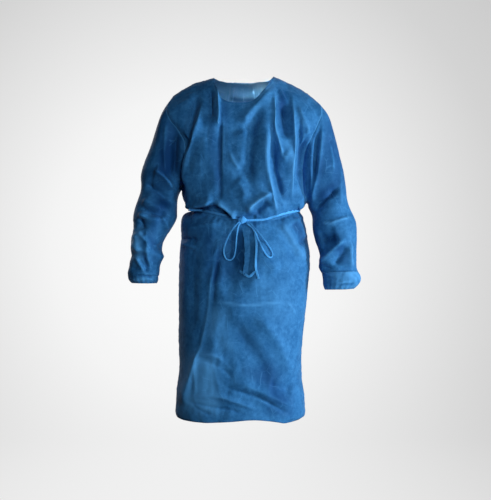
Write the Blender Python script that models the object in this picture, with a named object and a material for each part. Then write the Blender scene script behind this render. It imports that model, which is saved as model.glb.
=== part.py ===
"""Disposable visitor gown in its worn, hollow shape, one named object for each sewn piece.

The tables hold millimetres and the objects are made in metres, +Z up, front towards -Y and the
wearer's left at +X. The origin is the centre of the neck opening, level with its two side points.
"""

from collections import namedtuple
from math import cos, pi, radians

import bmesh
import bpy
import numpy as np

MM = 0.001

# Driving sizes in millimetres
WALL = 1.5
SEAM_GAP = 0.3
HEM_LEVEL = -1129.0
TIP_RIGHT = (-243.0, -66.0)
TIP_LEFT = (248.0, -83.0)
PIT_RIGHT = (-210.0, -372.0)
PIT_LEFT = (205.0, -415.0)
ARMHOLE_DEPTH_FRONT = 72.0
ARMHOLE_DEPTH_BACK = 68.0
SHOULDER_ROLL_FRONT = 90.0
SHOULDER_ROLL_BACK = 60.0
ROUNDNESS = 2.25

# The waist line dips at the centre front and rises a little at the centre back
WAIST_LEVEL = -440.0
WAIST_DIP_FRONT = 34.0
WAIST_DIP_BACK = -8.0
WAIST_DIP_CENTRE = -455.0
WAIST_DIP_REACH = 110.0

# The wearer's left back panel laps over the right one
LAP_LIFT = 2.4

# Ties are flat strips that bunch to a narrow band where they are pulled
TIE_FLAT_WIDTH = 21.0
TIE_BUNCHED_WIDTH = 9.0
TIE_THICKNESS = 2.4
TIE_STANDOFF = 2.9
TIE_POINTS = 17
TIE_RISE_POINTS = 6.0
WAIST_FLATNESS = 0.62
KNOT_SEAT = 1.0
STRAND_WIDTH = 8.0
LOOP_POINTS = 26
END_POINTS = 14
ROUTE_SMOOTHING = 3
SURFACE_STEPS = 12

# The strips' six sided section, as shares of their width and thickness
STRIP_CORNERS = [(0.5, 0.0), (0.3, 0.5), (-0.3, 0.5), (-0.5, 0.0), (-0.3, -0.5), (0.3, -0.5)]

# Knots are round, with a waist where the wrap crosses
KNOT_SEGMENTS = (14, 8)
KNOT_PINCH = 0.18
KNOT_PINCH_WIDTH = 0.16

# Finishes, as linear colours
CLOTH_COLOUR = (0.05, 0.21, 0.45)
TIE_COLOUR = (0.08, 0.30, 0.62)
FABRIC_ROUGHNESS = 0.8
SHARP_ANGLE = 50.0

# Folds fade over this many grid steps from a side seam, a shoulder seam and the waist line
FADE_SIDE_SEAM = 3.0
FADE_SHOULDER_SEAM = 5.0
FADE_BELOW_SHOULDER = 4.0
FADE_WAIST_START = 0.6
FADE_WAIST = 2.2

# Grid counts
YOKE_ROWS = 10
FRONT_COLUMNS = 32
SHOULDER_COLUMNS = 8
BACK_COLUMNS = 24
BACK_SHOULDER_COLUMNS = 4
LAP_COLUMNS = 6
LAP_BLEND_COLUMNS = 3
SLEEVE_RINGS = 18
GATHERS_PER_CUFF = 20
GATHER_DEPTH = 2.2

Section = namedtuple("Section", "z right left front back")
SECTIONS = [
    Section(0, -243, 248, 74, 84),
    Section(-40, -243, 248, 88, 92),
    Section(-75, -245, 248, 96, 97),
    Section(-100, -256, 261, 104, 100),
    Section(-124, -256, 262, 111, 104),
    Section(-147, -240, 250, 117, 107),
    Section(-170, -217, 237, 122, 109),
    Section(-200, -204, 220, 128, 112),
    Section(-230, -197, 210, 132, 114),
    Section(-300, -194, 203, 139, 116),
    Section(-350, -201, 200, 143, 115),
    Section(-380, -211, 201, 144, 113),
    Section(-400, -205, 203, 144, 111),
    Section(-415, -195, 205, 141, 108),
    Section(-428, -184, 193, 132, 101),
    Section(-434, -174, 184, 123, 94),
    Section(-440, -172, 182, 122, 93),
    Section(-447, -176, 184, 123, 94),
    Section(-456, -203, 193, 131, 102),
    Section(-475, -207, 199, 137, 110),
    Section(-515, -208, 208, 142, 123),
    Section(-540, -202, 212, 145, 129),
    Section(-556, -211, 217, 147, 133),
    Section(-620, -214, 221, 151, 140),
    Section(-690, -216, 215, 153, 143),
    Section(-740, -218, 211, 152, 143),
    Section(-820, -216, 199, 150, 141),
    Section(-875, -219, 192, 149, 140),
    Section(-930, -216, 188, 148, 140),
    Section(-970, -214, 187, 148, 140),
    Section(-1010, -219, 189, 149, 141),
    Section(-1040, -222, 196, 150, 142),
    Section(-1090, -226, 200, 151, 142),
    Section(-1129, -229, 202, 150, 141),
]

# Levels of the rows below the armpits, down to the hem
LEVELS = [-425, -434, -440, -447, -456, -475, -500, -530, -565, -605, -650, -700,
          -755, -815, -875, -930, -980, -1025, -1065, -1097, HEM_LEVEL]

# The shoulder line from tip to tip, as seen from the front
Shoulder = namedtuple("Shoulder", "x z")
SHOULDER_LINE = [
    Shoulder(-243, -66), Shoulder(-222, -47), Shoulder(-195, -33), Shoulder(-169, -20),
    Shoulder(-135, -7), Shoulder(-101, 0), Shoulder(97, 6), Shoulder(122, -5),
    Shoulder(162, -20), Shoulder(185, -33), Shoulder(209, -47), Shoulder(222, -59),
    Shoulder(248, -83),
]

# How the front of the hem rises and falls from side seam to side seam
Hem = namedtuple("Hem", "x lift")
HEM_FRONT = [
    Hem(-229, 0), Hem(-140, -2), Hem(-50, 3), Hem(30, 9), Hem(90, 3), Hem(145, -6), Hem(202, 0),
]
HEM_WAVE_REACH = 200.0

# Neckline from the wearer's left neck point to the right one
Neck = namedtuple("Neck", "x z")
NECK_FRONT = [
    Neck(97, 6), Neck(86, -18), Neck(70, -44), Neck(50, -70), Neck(31, -88), Neck(5, -92),
    Neck(-28, -91), Neck(-55, -87), Neck(-74, -76), Neck(-84, -58), Neck(-93, -30),
    Neck(-101, 0),
]
NECK_BACK = [
    Neck(97, 6), Neck(85, -1), Neck(55, -6), Neck(10, -9), Neck(-40, -8), Neck(-80, -4),
    Neck(-101, 0),
]

# Main folds, each a soft ridge (raise above 0) or trough along three points
Fold = namedtuple("Fold", "x1 z1 x2 z2 x3 z3 width rise")
FRONT_FOLDS = [
    Fold(103, -32, 96, -146, 125, -272, 15, 9),
    Fold(86, -177, 79, -335, 108, -452, 15, 10),
    Fold(151, -56, 164, -230, 154, -436, 15, 9),
    Fold(79, -96, 37, -293, 47, -345, 26, -9),
    Fold(83, -90, 28, -137, -11, -176, 18, 5),
    Fold(-135, -56, -158, -180, -185, -297, 17, 9),
    Fold(-113, -35, -106, -81, -100, -140, 15, -8),
    Fold(-86, -60, -80, -220, -79, -410, 11, 4),
    Fold(-168, -414, -128, -418, -86, -412, 13, 6),
    Fold(-85, -396, -50, -432, -20, -462, 13, 6),
    Fold(76, -396, 44, -420, 5, -455, 13, 5),
    Fold(103, -490, 132, -520, 190, -608, 18, 9),
    Fold(140, -485, 160, -519, 185, -570, 13, -6),
    Fold(-60, -500, -102, -610, -115, -749, 17, 8),
    Fold(-115, -749, -130, -840, -175, -1030, 17, 9),
    Fold(-24, -781, 57, -900, 105, -1017, 28, -10),
    Fold(-141, -1040, -24, -1057, 60, -1086, 18, 7),
    Fold(-20, -1025, 75, -1062, 160, -1112, 15, -7),
    Fold(-144, -901, -99, -908, -56, -930, 13, 5),
]
BACK_FOLDS = [
    Fold(120, -60, 135, -180, 150, -330, 18, 7),
    Fold(-120, -70, -128, -190, -150, -340, 18, 7),
    Fold(-150, -130, -95, -170, -20, -190, 22, -6),
    Fold(150, -150, 100, -180, 30, -200, 22, -6),
    Fold(110, -330, 95, -380, 84, -422, 14, 6),
    Fold(-75, -300, -92, -370, -104, -422, 14, 6),
    Fold(120, -470, 140, -620, 150, -820, 20, 8),
    Fold(60, -480, 75, -560, 82, -700, 18, 6),
    Fold(-130, -468, -145, -600, -160, -840, 20, 8),
    Fold(-95, -900, -20, -960, 40, -1080, 26, -8),
    Fold(150, -900, 140, -1000, 120, -1100, 22, 7),
]

# Sleeve sections from shoulder to wrist: outer line, inner line, half depth and middle y
Ring = namedtuple("Ring", "outer_x outer_z inner_x inner_z depth y")
SLEEVE_RIGHT = [
    Ring(-243, -66, -210, -372, 70, 0),
    Ring(-262, -92, -215, -379, 71, 0),
    Ring(-277, -118, -218, -386, 72, 0),
    Ring(-289, -152, -221, -394, 72, 0),
    Ring(-306, -207, -223, -407, 72, -1),
    Ring(-326, -260, -224, -423, 71, -3),
    Ring(-341, -303, -224, -438, 70, -5),
    Ring(-346, -330, -223, -452, 69, -8),
    Ring(-343, -352, -223, -464, 68, -11),
    Ring(-346, -385, -226, -478, 68, -14),
    Ring(-364, -432, -238, -500, 67, -18),
    Ring(-372, -470, -254, -527, 64, -22),
    Ring(-365, -516, -269, -554, 60, -26),
    Ring(-374, -552, -269, -576, 57, -30),
    Ring(-367, -584, -266, -598, 54, -33),
    Ring(-380, -612, -280, -624, 53, -36),
    Ring(-384, -646, -284, -652, 52, -38),
]
SLEEVE_LEFT = [
    Ring(248, -83, 205, -415, 70, 0),
    Ring(264, -99, 211, -419, 71, 0),
    Ring(278, -120, 213, -423, 72, 0),
    Ring(291, -152, 214, -429, 73, 0),
    Ring(306, -207, 216, -437, 73, -1),
    Ring(322, -265, 220, -447, 73, -3),
    Ring(333, -318, 225, -457, 72, -6),
    Ring(340, -362, 227, -468, 71, -9),
    Ring(342, -405, 227, -482, 70, -13),
    Ring(356, -440, 227, -500, 69, -17),
    Ring(372, -475, 230, -520, 68, -21),
    Ring(375, -508, 235, -541, 66, -25),
    Ring(373, -545, 244, -566, 62, -29),
    Ring(371, -578, 253, -588, 58, -32),
    Ring(371, -606, 250, -609, 56, -35),
    Ring(371, -628, 244, -628, 55, -37),
    Ring(376, -641, 256, -643, 53, -38),
]
CUFF_RIGHT = [
    Ring(-384, -646, -284, -652, 52, -38),
    Ring(-385, -658, -284, -663, 52, -39),
    Ring(-381, -671, -285, -673, 47, -39),
    Ring(-371, -680, -290, -681, 38, -40),
]
CUFF_LEFT = [
    Ring(376, -641, 256, -643, 53, -38),
    Ring(388, -661, 260, -662, 56, -39),
    Ring(383, -684, 259, -685, 52, -39),
    Ring(361, -699, 267, -702, 40, -40),
]
SLEEVE_ROUNDNESS = 2.15
ARMHOLE_FADE_RINGS = 6

# Routes of the bow at the front: x, z and how far off the skirt the strip lies
Route = namedtuple("Route", "x z off")
LOOP_LONG = [
    Route(-22, -481, 12), Route(-40, -510, 11), Route(-56, -542, 9), Route(-64, -570, 7),
    Route(-59, -595, 6), Route(-43, -607, 7), Route(-28, -592, 9), Route(-21, -564, 11),
    Route(-17, -526, 12), Route(-11, -483.3, 6.8),
]
LOOP_SHORT = [
    Route(14, -481, 15), Route(32, -500, 14), Route(55, -528, 12), Route(79, -561, 9),
    Route(91, -584, 7), Route(83, -600, 7), Route(69, -590, 8.5), Route(56, -566, 10),
    Route(32, -524, 11.4), Route(5, -490, 12),
]
END_NARROW = [
    Route(4, -488, 8), Route(24, -510, 8), Route(34, -555, 7.4), Route(36, -610, 6.6),
    Route(41, -664, 5.5),
]
END_FLAT = [
    Route(-3, -488, 3.2), Route(5, -516, 3), Route(14, -561, 3), Route(16, -610, 3),
    Route(9, -646, 3),
]
KNOT_CENTRE = Route(-6, -474, 8)
KNOT_SIZE = (27.0, 14.0, 20.0)

# The neck tie at the back: knot, and two ends that hang down the panel
NECK_KNOT_CENTRE = Route(-8, -30, 5.3)
NECK_KNOT_SIZE = (20.0, 11.0, 14.0)
NECK_END_LEFT = [
    Route(-2, -39, 3), Route(8, -75, 3), Route(20, -130, 3), Route(24, -185, 3),
]
NECK_END_RIGHT = [
    Route(-13, -39, 3), Route(-22, -70, 3), Route(-34, -120, 3), Route(-36, -160, 3),
]
TIE_SEWN_LEFT_X = 78.0
TIE_SEWN_RIGHT_X = -40.0


class Curve:
    """Smooth curve through two table columns that never overshoots its points."""

    def __init__(self, at, value):
        order = np.argsort(at)
        self.at = np.array(at, float)[order]
        self.value = np.array(value, float)[order]
        slope = np.diff(self.value) / np.diff(self.at)
        before, after = slope[:-1], slope[1:]
        turning = before * after <= 0
        total = np.where(turning, 1.0, before + after)
        inner = np.where(turning, 0.0, 2.0 * before * after / total)
        self.tangent = np.concatenate([[slope[0]], inner, [slope[-1]]])

    def __call__(self, at):
        at = np.clip(at, self.at[0], self.at[-1])
        i = np.clip(np.searchsorted(self.at, at, side="right") - 1, 0, len(self.at) - 2)
        step = self.at[i + 1] - self.at[i]
        t = (at - self.at[i]) / step
        start = (1 + 2 * t) * (1 - t) ** 2 * self.value[i]
        end = t * t * (3 - 2 * t) * self.value[i + 1]
        leave = t * (1 - t) ** 2 * step * self.tangent[i]
        arrive = t * t * (t - 1) * step * self.tangent[i + 1]
        return start + end + leave + arrive


def column_curve(table, key, value):
    """Curve through one column of a table over another."""
    return Curve([getattr(row, key) for row in table], [getattr(row, value) for row in table])


RIGHT_X = column_curve(SECTIONS, "z", "right")
LEFT_X = column_curve(SECTIONS, "z", "left")
FRONT_DEPTH = column_curve(SECTIONS, "z", "front")
BACK_DEPTH = column_curve(SECTIONS, "z", "back")
SHOULDER_Z = column_curve(SHOULDER_LINE, "x", "z")
HEM_LIFT = column_curve(HEM_FRONT, "x", "lift")


def smooth_step(value):
    """Soft step from 0 to 1."""
    value = np.clip(value, 0.0, 1.0)
    return value * value * (3 - 2 * value)


def unit(vectors):
    """Vectors at length 1 along the last axis."""
    length = np.linalg.norm(vectors, axis=-1, keepdims=True)
    return vectors / np.maximum(length, 1e-9)


def fold_height(folds, x, z):
    """Sum of the ridges and troughs of a fold table at one place."""
    height = np.zeros(np.shape(x))
    for fold in folds:
        points = [(fold.x1, fold.z1), (fold.x2, fold.z2), (fold.x3, fold.z3)]
        nearest = np.full(np.shape(x), 1e9)
        for (ax, az), (bx, bz) in zip(points, points[1:]):
            run = (bx - ax) ** 2 + (bz - az) ** 2
            along = np.clip(((x - ax) * (bx - ax) + (z - az) * (bz - az)) / run, 0, 1)
            away = np.hypot(x - ax - along * (bx - ax), z - az - along * (bz - az))
            nearest = np.minimum(nearest, away)
        height += fold.rise * np.exp(-(nearest / fold.width) ** 2)
    return height


def side_bow(xi):
    """How far a section bulges at a place across it, 1 in the middle and 0 at its sides."""
    return np.clip(1 - np.abs(xi) ** ROUNDNESS, 0, 1) ** (1 / ROUNDNESS)


def dip(xi, level, amount):
    """How much lower than its level a row hangs."""
    return amount * side_bow(xi) * np.exp(-((level - WAIST_DIP_CENTRE) / WAIST_DIP_REACH) ** 2)


def armhole_depth(xi, level, depth):
    """How far the armhole's edge stands off the plane of the side seams."""
    left = arch(level, TIP_LEFT[1], PIT_LEFT[1])
    right = arch(level, TIP_RIGHT[1], PIT_RIGHT[1])
    share = (1 + xi) / 2
    return depth * (share * left + (1 - share) * right)


def arch(level, top, bottom):
    """Half oval between two levels, 1 in the middle."""
    place = (level - (top + bottom) / 2) / ((top - bottom) / 2)
    return np.sqrt(np.clip(1 - place ** 2, 0, 1))


def body_point(xi, level, is_front):
    """Place on the smooth torso, from its place across a section and its level."""
    xi = np.asarray(xi, float)
    level = np.asarray(level, float)
    amount = WAIST_DIP_FRONT if is_front else WAIST_DIP_BACK
    z = level - dip(xi, level, amount)
    left, right = LEFT_X(level), RIGHT_X(level)
    x = (left + right) / 2 + xi * (left - right) / 2
    below_shoulder = np.clip(SHOULDER_Z(x) - z, 0, None)
    roll_size = SHOULDER_ROLL_FRONT if is_front else SHOULDER_ROLL_BACK
    roll = np.sqrt(np.clip(1 - (1 - np.clip(below_shoulder / roll_size, 0, 1)) ** 2, 0, 1))
    depth = FRONT_DEPTH(level) if is_front else BACK_DEPTH(level)
    edge = armhole_depth(xi, level, ARMHOLE_DEPTH_FRONT if is_front else ARMHOLE_DEPTH_BACK)
    bow = side_bow(xi)
    y = edge * (1 - bow) + depth * bow * roll
    return np.stack([x, -y if is_front else y, z], axis=-1)


def across(x, level):
    """Place across a section, from -1 at the wearer's right to 1 at the left."""
    left, right = LEFT_X(level), RIGHT_X(level)
    return (x - (left + right) / 2) / ((left - right) / 2)


def along_line(points, count):
    """Evenly spaced points on the smooth line through a table of x and z."""
    x = np.array([p.x for p in points], float)
    z = np.array([p.z for p in points], float)
    run = np.concatenate([[0], np.cumsum(np.hypot(np.diff(x), np.diff(z)))])
    at = np.linspace(0, run[-1], count)
    return Curve(run, x)(at), Curve(run, z)(at)


def shoulder_points(start_x, end_x, count):
    """Evenly spaced points on the shoulder line between two places."""
    x = np.linspace(start_x, end_x, count)
    return x, SHOULDER_Z(x)


def grid_levels(share, top_level):
    """Levels of all rows of one column, hem first and the yoke's rows last."""
    pit = share * PIT_LEFT[1] + (1 - share) * PIT_RIGHT[1]
    lower = list(reversed(LEVELS)) + [(pit + LEVELS[0]) / 2]
    yoke = [pit + (top_level - pit) * (1 - cos(pi * k / YOKE_ROWS)) / 2
            for k in range(YOKE_ROWS + 1)]
    return np.array(lower + yoke)


def panel_grid(pit_xi, top_x, top_z, is_front):
    """Outer points of a torso panel, rows from hem to top edge and columns from left to right.

    pit_xi gives each column's place across the sections up to the armpit level, and top_x and
    top_z its place at the top edge.
    """
    columns = []
    lower_rows = len(LEVELS) + 1
    for i, xi in enumerate(pit_xi):
        levels = grid_levels((1 + xi) / 2, top_z[i])
        top_xi = across(top_x[i], top_z[i])
        rise = np.clip((levels - levels[lower_rows]) / (top_z[i] - levels[lower_rows]), 0, 1)
        places = xi + (top_xi - xi) * rise
        columns.append(body_point(places, levels, is_front))
    return np.stack(columns, axis=1)


def grid_normals(points, closed=False):
    """Unit normals of a grid of points, by differences along its rows and columns."""
    if closed:
        ring = points[:, :-1]
        around = np.roll(ring, -1, axis=1) - np.roll(ring, 1, axis=1)
        around = np.concatenate([around, around[:, :1]], axis=1)
    else:
        around = np.gradient(points, axis=1)
    along = np.gradient(points, axis=0)
    return unit(np.cross(around, along))


def add_folds(points, folds, seam_columns, top_is_seam):
    """Moves a panel's points out or in by its folds, less so beside its seams and waist."""
    normals = grid_normals(points)
    height = fold_height(folds, points[..., 0], points[..., 2])
    rows, columns = height.shape
    index = np.arange(columns)
    keep = np.ones(columns)
    for column in seam_columns:
        keep *= smooth_step(np.abs(index - column) / FADE_SIDE_SEAM)
    height = height * keep[None, :]
    away = np.abs(index[:, None] - index[np.array(top_is_seam)][None, :]).min(axis=1)
    near = 1 - smooth_step(away / FADE_SHOULDER_SEAM)
    top_keep = smooth_step((rows - 1 - np.arange(rows)) / FADE_BELOW_SHOULDER)
    height *= 1 - near[None, :] * (1 - top_keep[:, None])
    waist_row = len(LEVELS) - 1 - LEVELS.index(int(WAIST_LEVEL))
    away = np.abs(np.arange(rows) - waist_row)
    height *= smooth_step((away - FADE_WAIST_START) / FADE_WAIST)[:, None]
    return points + normals * height[..., None]


def front_grid():
    """Outer points of the front panel, from the wearer's left side seam to the right one."""
    turn = np.linspace(0, pi, FRONT_COLUMNS + 1)
    neck_count = FRONT_COLUMNS - 2 * SHOULDER_COLUMNS + 1
    left_x, left_z = shoulder_points(TIP_LEFT[0], NECK_FRONT[0].x, SHOULDER_COLUMNS + 1)
    neck_x, neck_z = along_line(NECK_FRONT, neck_count)
    right_x, right_z = shoulder_points(NECK_FRONT[-1].x, TIP_RIGHT[0], SHOULDER_COLUMNS + 1)
    top_x = np.concatenate([left_x, neck_x[1:-1], right_x])
    top_z = np.concatenate([left_z, neck_z[1:-1], right_z])
    points = panel_grid(np.cos(turn), top_x, top_z, True)
    points = add_folds(points, FRONT_FOLDS, [0, FRONT_COLUMNS],
                       shoulder_seam_columns(FRONT_COLUMNS, SHOULDER_COLUMNS))
    near_hem = smooth_step(1 - (points[..., 2] - HEM_LEVEL) / HEM_WAVE_REACH)
    points[..., 2] += HEM_LIFT(points[..., 0]) * near_hem
    points[..., 1] -= SEAM_GAP / 2
    return points


def back_grid():
    """Outer points of the whole back, from the wearer's left side seam to the right one."""
    turn = np.linspace(0, pi, BACK_COLUMNS + 1)
    neck_count = BACK_COLUMNS - 2 * BACK_SHOULDER_COLUMNS + 1
    left_x, left_z = shoulder_points(TIP_LEFT[0], NECK_BACK[0].x, BACK_SHOULDER_COLUMNS + 1)
    neck_x, neck_z = along_line(NECK_BACK, neck_count)
    right_x, right_z = shoulder_points(NECK_BACK[-1].x, TIP_RIGHT[0], BACK_SHOULDER_COLUMNS + 1)
    top_x = np.concatenate([left_x, neck_x[1:-1], right_x])
    top_z = np.concatenate([left_z, neck_z[1:-1], right_z])
    points = panel_grid(np.cos(turn), top_x, top_z, False)
    points = add_folds(points, BACK_FOLDS, [0, BACK_COLUMNS],
                       shoulder_seam_columns(BACK_COLUMNS, BACK_SHOULDER_COLUMNS))
    points[..., 1] += SEAM_GAP / 2
    return points


def back_panels():
    """Outer points of the left panel, lifted where it laps over the right one, and of the right."""
    points = back_grid()
    first_lap = (BACK_COLUMNS - LAP_COLUMNS) // 2
    outward = grid_normals(points) * outward_sign(points, False)
    lift = smooth_step((np.arange(BACK_COLUMNS + 1) - first_lap + LAP_BLEND_COLUMNS)
                       / LAP_BLEND_COLUMNS)
    lifted = points + outward * (LAP_LIFT * lift)[None, :, None]
    return lifted[:, :first_lap + LAP_COLUMNS + 1], points[:, first_lap:]


def shoulder_seam_columns(columns, shoulder_columns):
    """Which columns of a panel end on a shoulder seam."""
    return [i <= shoulder_columns or i >= columns - shoulder_columns
            for i in range(columns + 1)]


def wall_normals(points, outward, flat_columns, top_flat):
    """Normals for a panel's wall, turned into the seam plane along side and shoulder seams."""
    normals = grid_normals(points) * outward
    for column in flat_columns:
        normals[:, column, 1] = 0
    for column, flat in enumerate(top_flat):
        if flat:
            normals[-1, column, 1] = 0
    return unit(normals)


def sleeve_rings(table, count):
    """Smooth rows of sleeve sections between the rows of its table."""
    at = np.arange(len(table))
    places = np.linspace(0, len(table) - 1, count + 1)
    return [Ring(*[Curve(at, [row[k] for row in table])(place) for k in range(len(Ring._fields))])
            for place in places]


def ring_points(ring, count):
    """Closed section of a sleeve, from its outer line over the front to its inner line."""
    turn = 2 * pi * np.arange(count + 1) / count
    power = 2 / SLEEVE_ROUNDNESS
    across_part = np.sign(np.cos(turn)) * np.abs(np.cos(turn)) ** power
    depth_part = np.sign(np.sin(turn)) * np.abs(np.sin(turn)) ** power
    outer = np.array([ring.outer_x, ring.y, ring.outer_z])
    inner = np.array([ring.inner_x, ring.y, ring.inner_z])
    middle = (outer + inner) / 2
    half = (outer - inner) / 2
    forward = np.array([0, -ring.depth, 0])
    return middle + across_part[:, None] * half + depth_part[:, None] * forward


def armhole_loop(front_edge, back_edge):
    """Closed armhole from the shoulder tip over the front to the armpit and up the back."""
    front = front_edge[::-1]
    back = back_edge
    tip = (front[0] + back[-1]) / 2
    pit = (front[-1] + back[0]) / 2
    return np.concatenate([[tip], front[1:-1], [pit], back[1:-1], [tip]])


def sleeve_grid(table, loop):
    """Outer points of a sleeve whose first ring lies on the armhole and fades to its sections."""
    count = len(loop) - 1
    rings = np.stack([ring_points(ring, count) for ring in sleeve_rings(table, SLEEVE_RINGS)])
    away = loop - rings[0]
    fade = smooth_step(1 - np.arange(SLEEVE_RINGS + 1) / ARMHOLE_FADE_RINGS)
    return rings + fade[:, None, None] * away[None]


def seam_offset(edge, normals, towards):
    """Small step across a seam, square to it and to the cloth's normal."""
    ring = edge[:-1]
    tangent = np.roll(ring, -1, axis=0) - np.roll(ring, 1, axis=0)
    tangent = np.concatenate([tangent, tangent[:1]])
    step = unit(np.cross(tangent, normals))
    sign = np.where(np.sum(step * towards, axis=-1) < 0, -1.0, 1.0)
    return step * sign[:, None] * SEAM_GAP


def fabric(name, colour):
    """Plain matt material of one piece."""
    material = bpy.data.materials.new(name)
    material.use_nodes = True
    shader = material.node_tree.nodes["Principled BSDF"]
    shader.inputs["Base Color"].default_value = (*colour, 1.0)
    shader.inputs["Roughness"].default_value = FABRIC_ROUGHNESS
    shader.inputs["Metallic"].default_value = 0.0
    material.diffuse_color = (*colour, 1.0)
    return material


def grid_mesh(outer, closed):
    """A bmesh grid laid on the outer points, its row and column kept on each vertex."""
    rows, columns = outer.shape[0] - 1, outer.shape[1] - 1
    bm = bmesh.new()
    row_tag = bm.verts.layers.int.new("row")
    column_tag = bm.verts.layers.int.new("column")
    bmesh.ops.create_grid(bm, x_segments=columns, y_segments=rows, size=1.0)
    for vert in bm.verts:
        vert[column_tag] = round((vert.co.x + 1) / 2 * columns)
        vert[row_tag] = round((vert.co.y + 1) / 2 * rows)
    for vert in bm.verts:
        vert.co = outer[vert[row_tag], vert[column_tag]] * MM
    if closed:
        bmesh.ops.remove_doubles(bm, verts=bm.verts, dist=0.00001)
    return bm, row_tag, column_tag


def finish(bm, name, colour):
    """Turns a closed bmesh into a named, smooth shaded object with its own material."""
    bmesh.ops.recalc_face_normals(bm, faces=bm.faces)
    mesh = bpy.data.meshes.new(name)
    bm.to_mesh(mesh)
    bm.free()
    mesh.shade_smooth()
    mesh.set_sharp_from_angle(angle=radians(SHARP_ANGLE))
    mesh.materials.append(fabric(name, colour))
    thing = bpy.data.objects.new(name, mesh)
    bpy.context.scene.collection.objects.link(thing)
    return thing


def cloth_wall(name, outer, inner, closed, colour):
    """Closed wall of cloth between a grid of outer points and one of inner points."""
    bm, row_tag, column_tag = grid_mesh(outer, closed)
    made = bmesh.ops.extrude_face_region(bm, geom=bm.faces[:], use_keep_orig=True)
    for item in made["geom"]:
        if isinstance(item, bmesh.types.BMVert):
            item.co = inner[item[row_tag], item[column_tag]] * MM
    return finish(bm, name, colour)


def strip_solid(name, path, facing, widths, colour):
    """Closed strip of six sided section along a path, its flat side towards facing."""
    tangent = unit(np.gradient(path, axis=0))
    sideways = unit(np.cross(tangent, facing))
    out = unit(np.cross(sideways, tangent))
    corners = STRIP_CORNERS + STRIP_CORNERS[:1]
    rings = np.stack([path + sideways * (c * widths)[:, None] + out * d * TIE_THICKNESS
                      for c, d in corners], axis=1)
    bm, _, _ = grid_mesh(rings, True)
    bmesh.ops.holes_fill(bm, edges=[e for e in bm.edges if e.is_boundary], sides=0)
    return finish(bm, name, colour)


def knot_solid(name, centre, size, colour):
    """Flattened round knot with a waist where its wrap crosses."""
    bm = bmesh.new()
    around, high = KNOT_SEGMENTS
    bmesh.ops.create_uvsphere(bm, u_segments=around, v_segments=high, radius=0.5)
    for vert in bm.verts:
        pinch = 1 - KNOT_PINCH * np.exp(-(vert.co.x / KNOT_PINCH_WIDTH) ** 2)
        vert.co.x *= size[0] * MM
        vert.co.y *= size[1] * pinch * MM
        vert.co.z *= size[2] * pinch * MM
        vert.co.x += centre[0] * MM
        vert.co.y += centre[1] * MM
        vert.co.z += centre[2] * MM
    return finish(bm, name, colour)


def surface_at(x, z, is_front):
    """Outer place of the dressed torso at an x and z, folds and lap included."""
    x = np.asarray(x, float)
    z = np.asarray(z, float)
    level = z.copy()
    amount = WAIST_DIP_FRONT if is_front else WAIST_DIP_BACK
    for _ in range(SURFACE_STEPS):
        xi = np.clip(across(x, level), -1, 1)
        level = z + dip(xi, level, amount)
    points = body_point(xi, level, is_front)
    rise = np.maximum(fold_height(FRONT_FOLDS if is_front else BACK_FOLDS, x, z), 0)
    if is_front:
        points[..., 1] -= rise + SEAM_GAP / 2
    else:
        points[..., 1] += rise + LAP_LIFT + SEAM_GAP / 2
    return points


def hanging_path(route, is_front, count):
    """Smooth path through a route's own points, laid off the cloth by each point's distance."""
    x = np.array([p.x for p in route], float)
    z = np.array([p.z for p in route], float)
    off = np.array([p.off for p in route], float)
    run = np.concatenate([[0], np.cumsum(np.hypot(np.diff(x), np.diff(z)))])
    at = np.linspace(0, run[-1], count)
    x, z, off = Curve(run, x)(at), Curve(run, z)(at), Curve(run, off)(at)
    for values in (x, z):
        for _ in range(ROUTE_SMOOTHING):
            values[1:-1] = (values[:-2] + 2 * values[1:-1] + values[2:]) / 4
    points = surface_at(x, z, is_front)
    points[:, 1] += -off if is_front else off
    return points


def waist_tie_path(is_left):
    """Band round the waist, from where it is sewn at the back to the knot at the front."""
    side = 1 if is_left else -1
    sewn_x = TIE_SEWN_LEFT_X if is_left else TIE_SEWN_RIGHT_X
    start = np.arccos(across(sewn_x, WAIST_LEVEL) * side)
    end_x = KNOT_CENTRE.x + side * (KNOT_SIZE[0] / 2 + SEAM_GAP)
    end = np.arccos(across(end_x, WAIST_LEVEL) * side)
    back_turn = np.linspace(start, 0.0, TIE_POINTS)
    front_turn = np.linspace(0.0, end, TIE_POINTS + 1)[1:]
    level = np.full(TIE_POINTS, WAIST_LEVEL)
    back = body_point(side * np.cos(back_turn), level, False)
    front = body_point(side * np.cos(front_turn), level, True)
    path = np.concatenate([back, front])
    radial = path - np.array([(LEFT_X(WAIST_LEVEL) + RIGHT_X(WAIST_LEVEL)) / 2, 0.0, 0.0])
    radial[:, 0] *= WAIST_FLATNESS
    radial[:, 2] = 0
    facing = unit(radial)
    lift = np.full(len(path), TIE_STANDOFF)
    lift[:TIE_POINTS] += LAP_LIFT * np.minimum(1, 2 * np.abs(np.sin(back_turn)))
    near_knot = smooth_step(1 - (len(path) - 1 - np.arange(len(path))) / TIE_RISE_POINTS)
    lift += near_knot * (KNOT_CENTRE.off - TIE_STANDOFF - KNOT_SEAT)
    return path + facing * lift[:, None], facing


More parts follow.
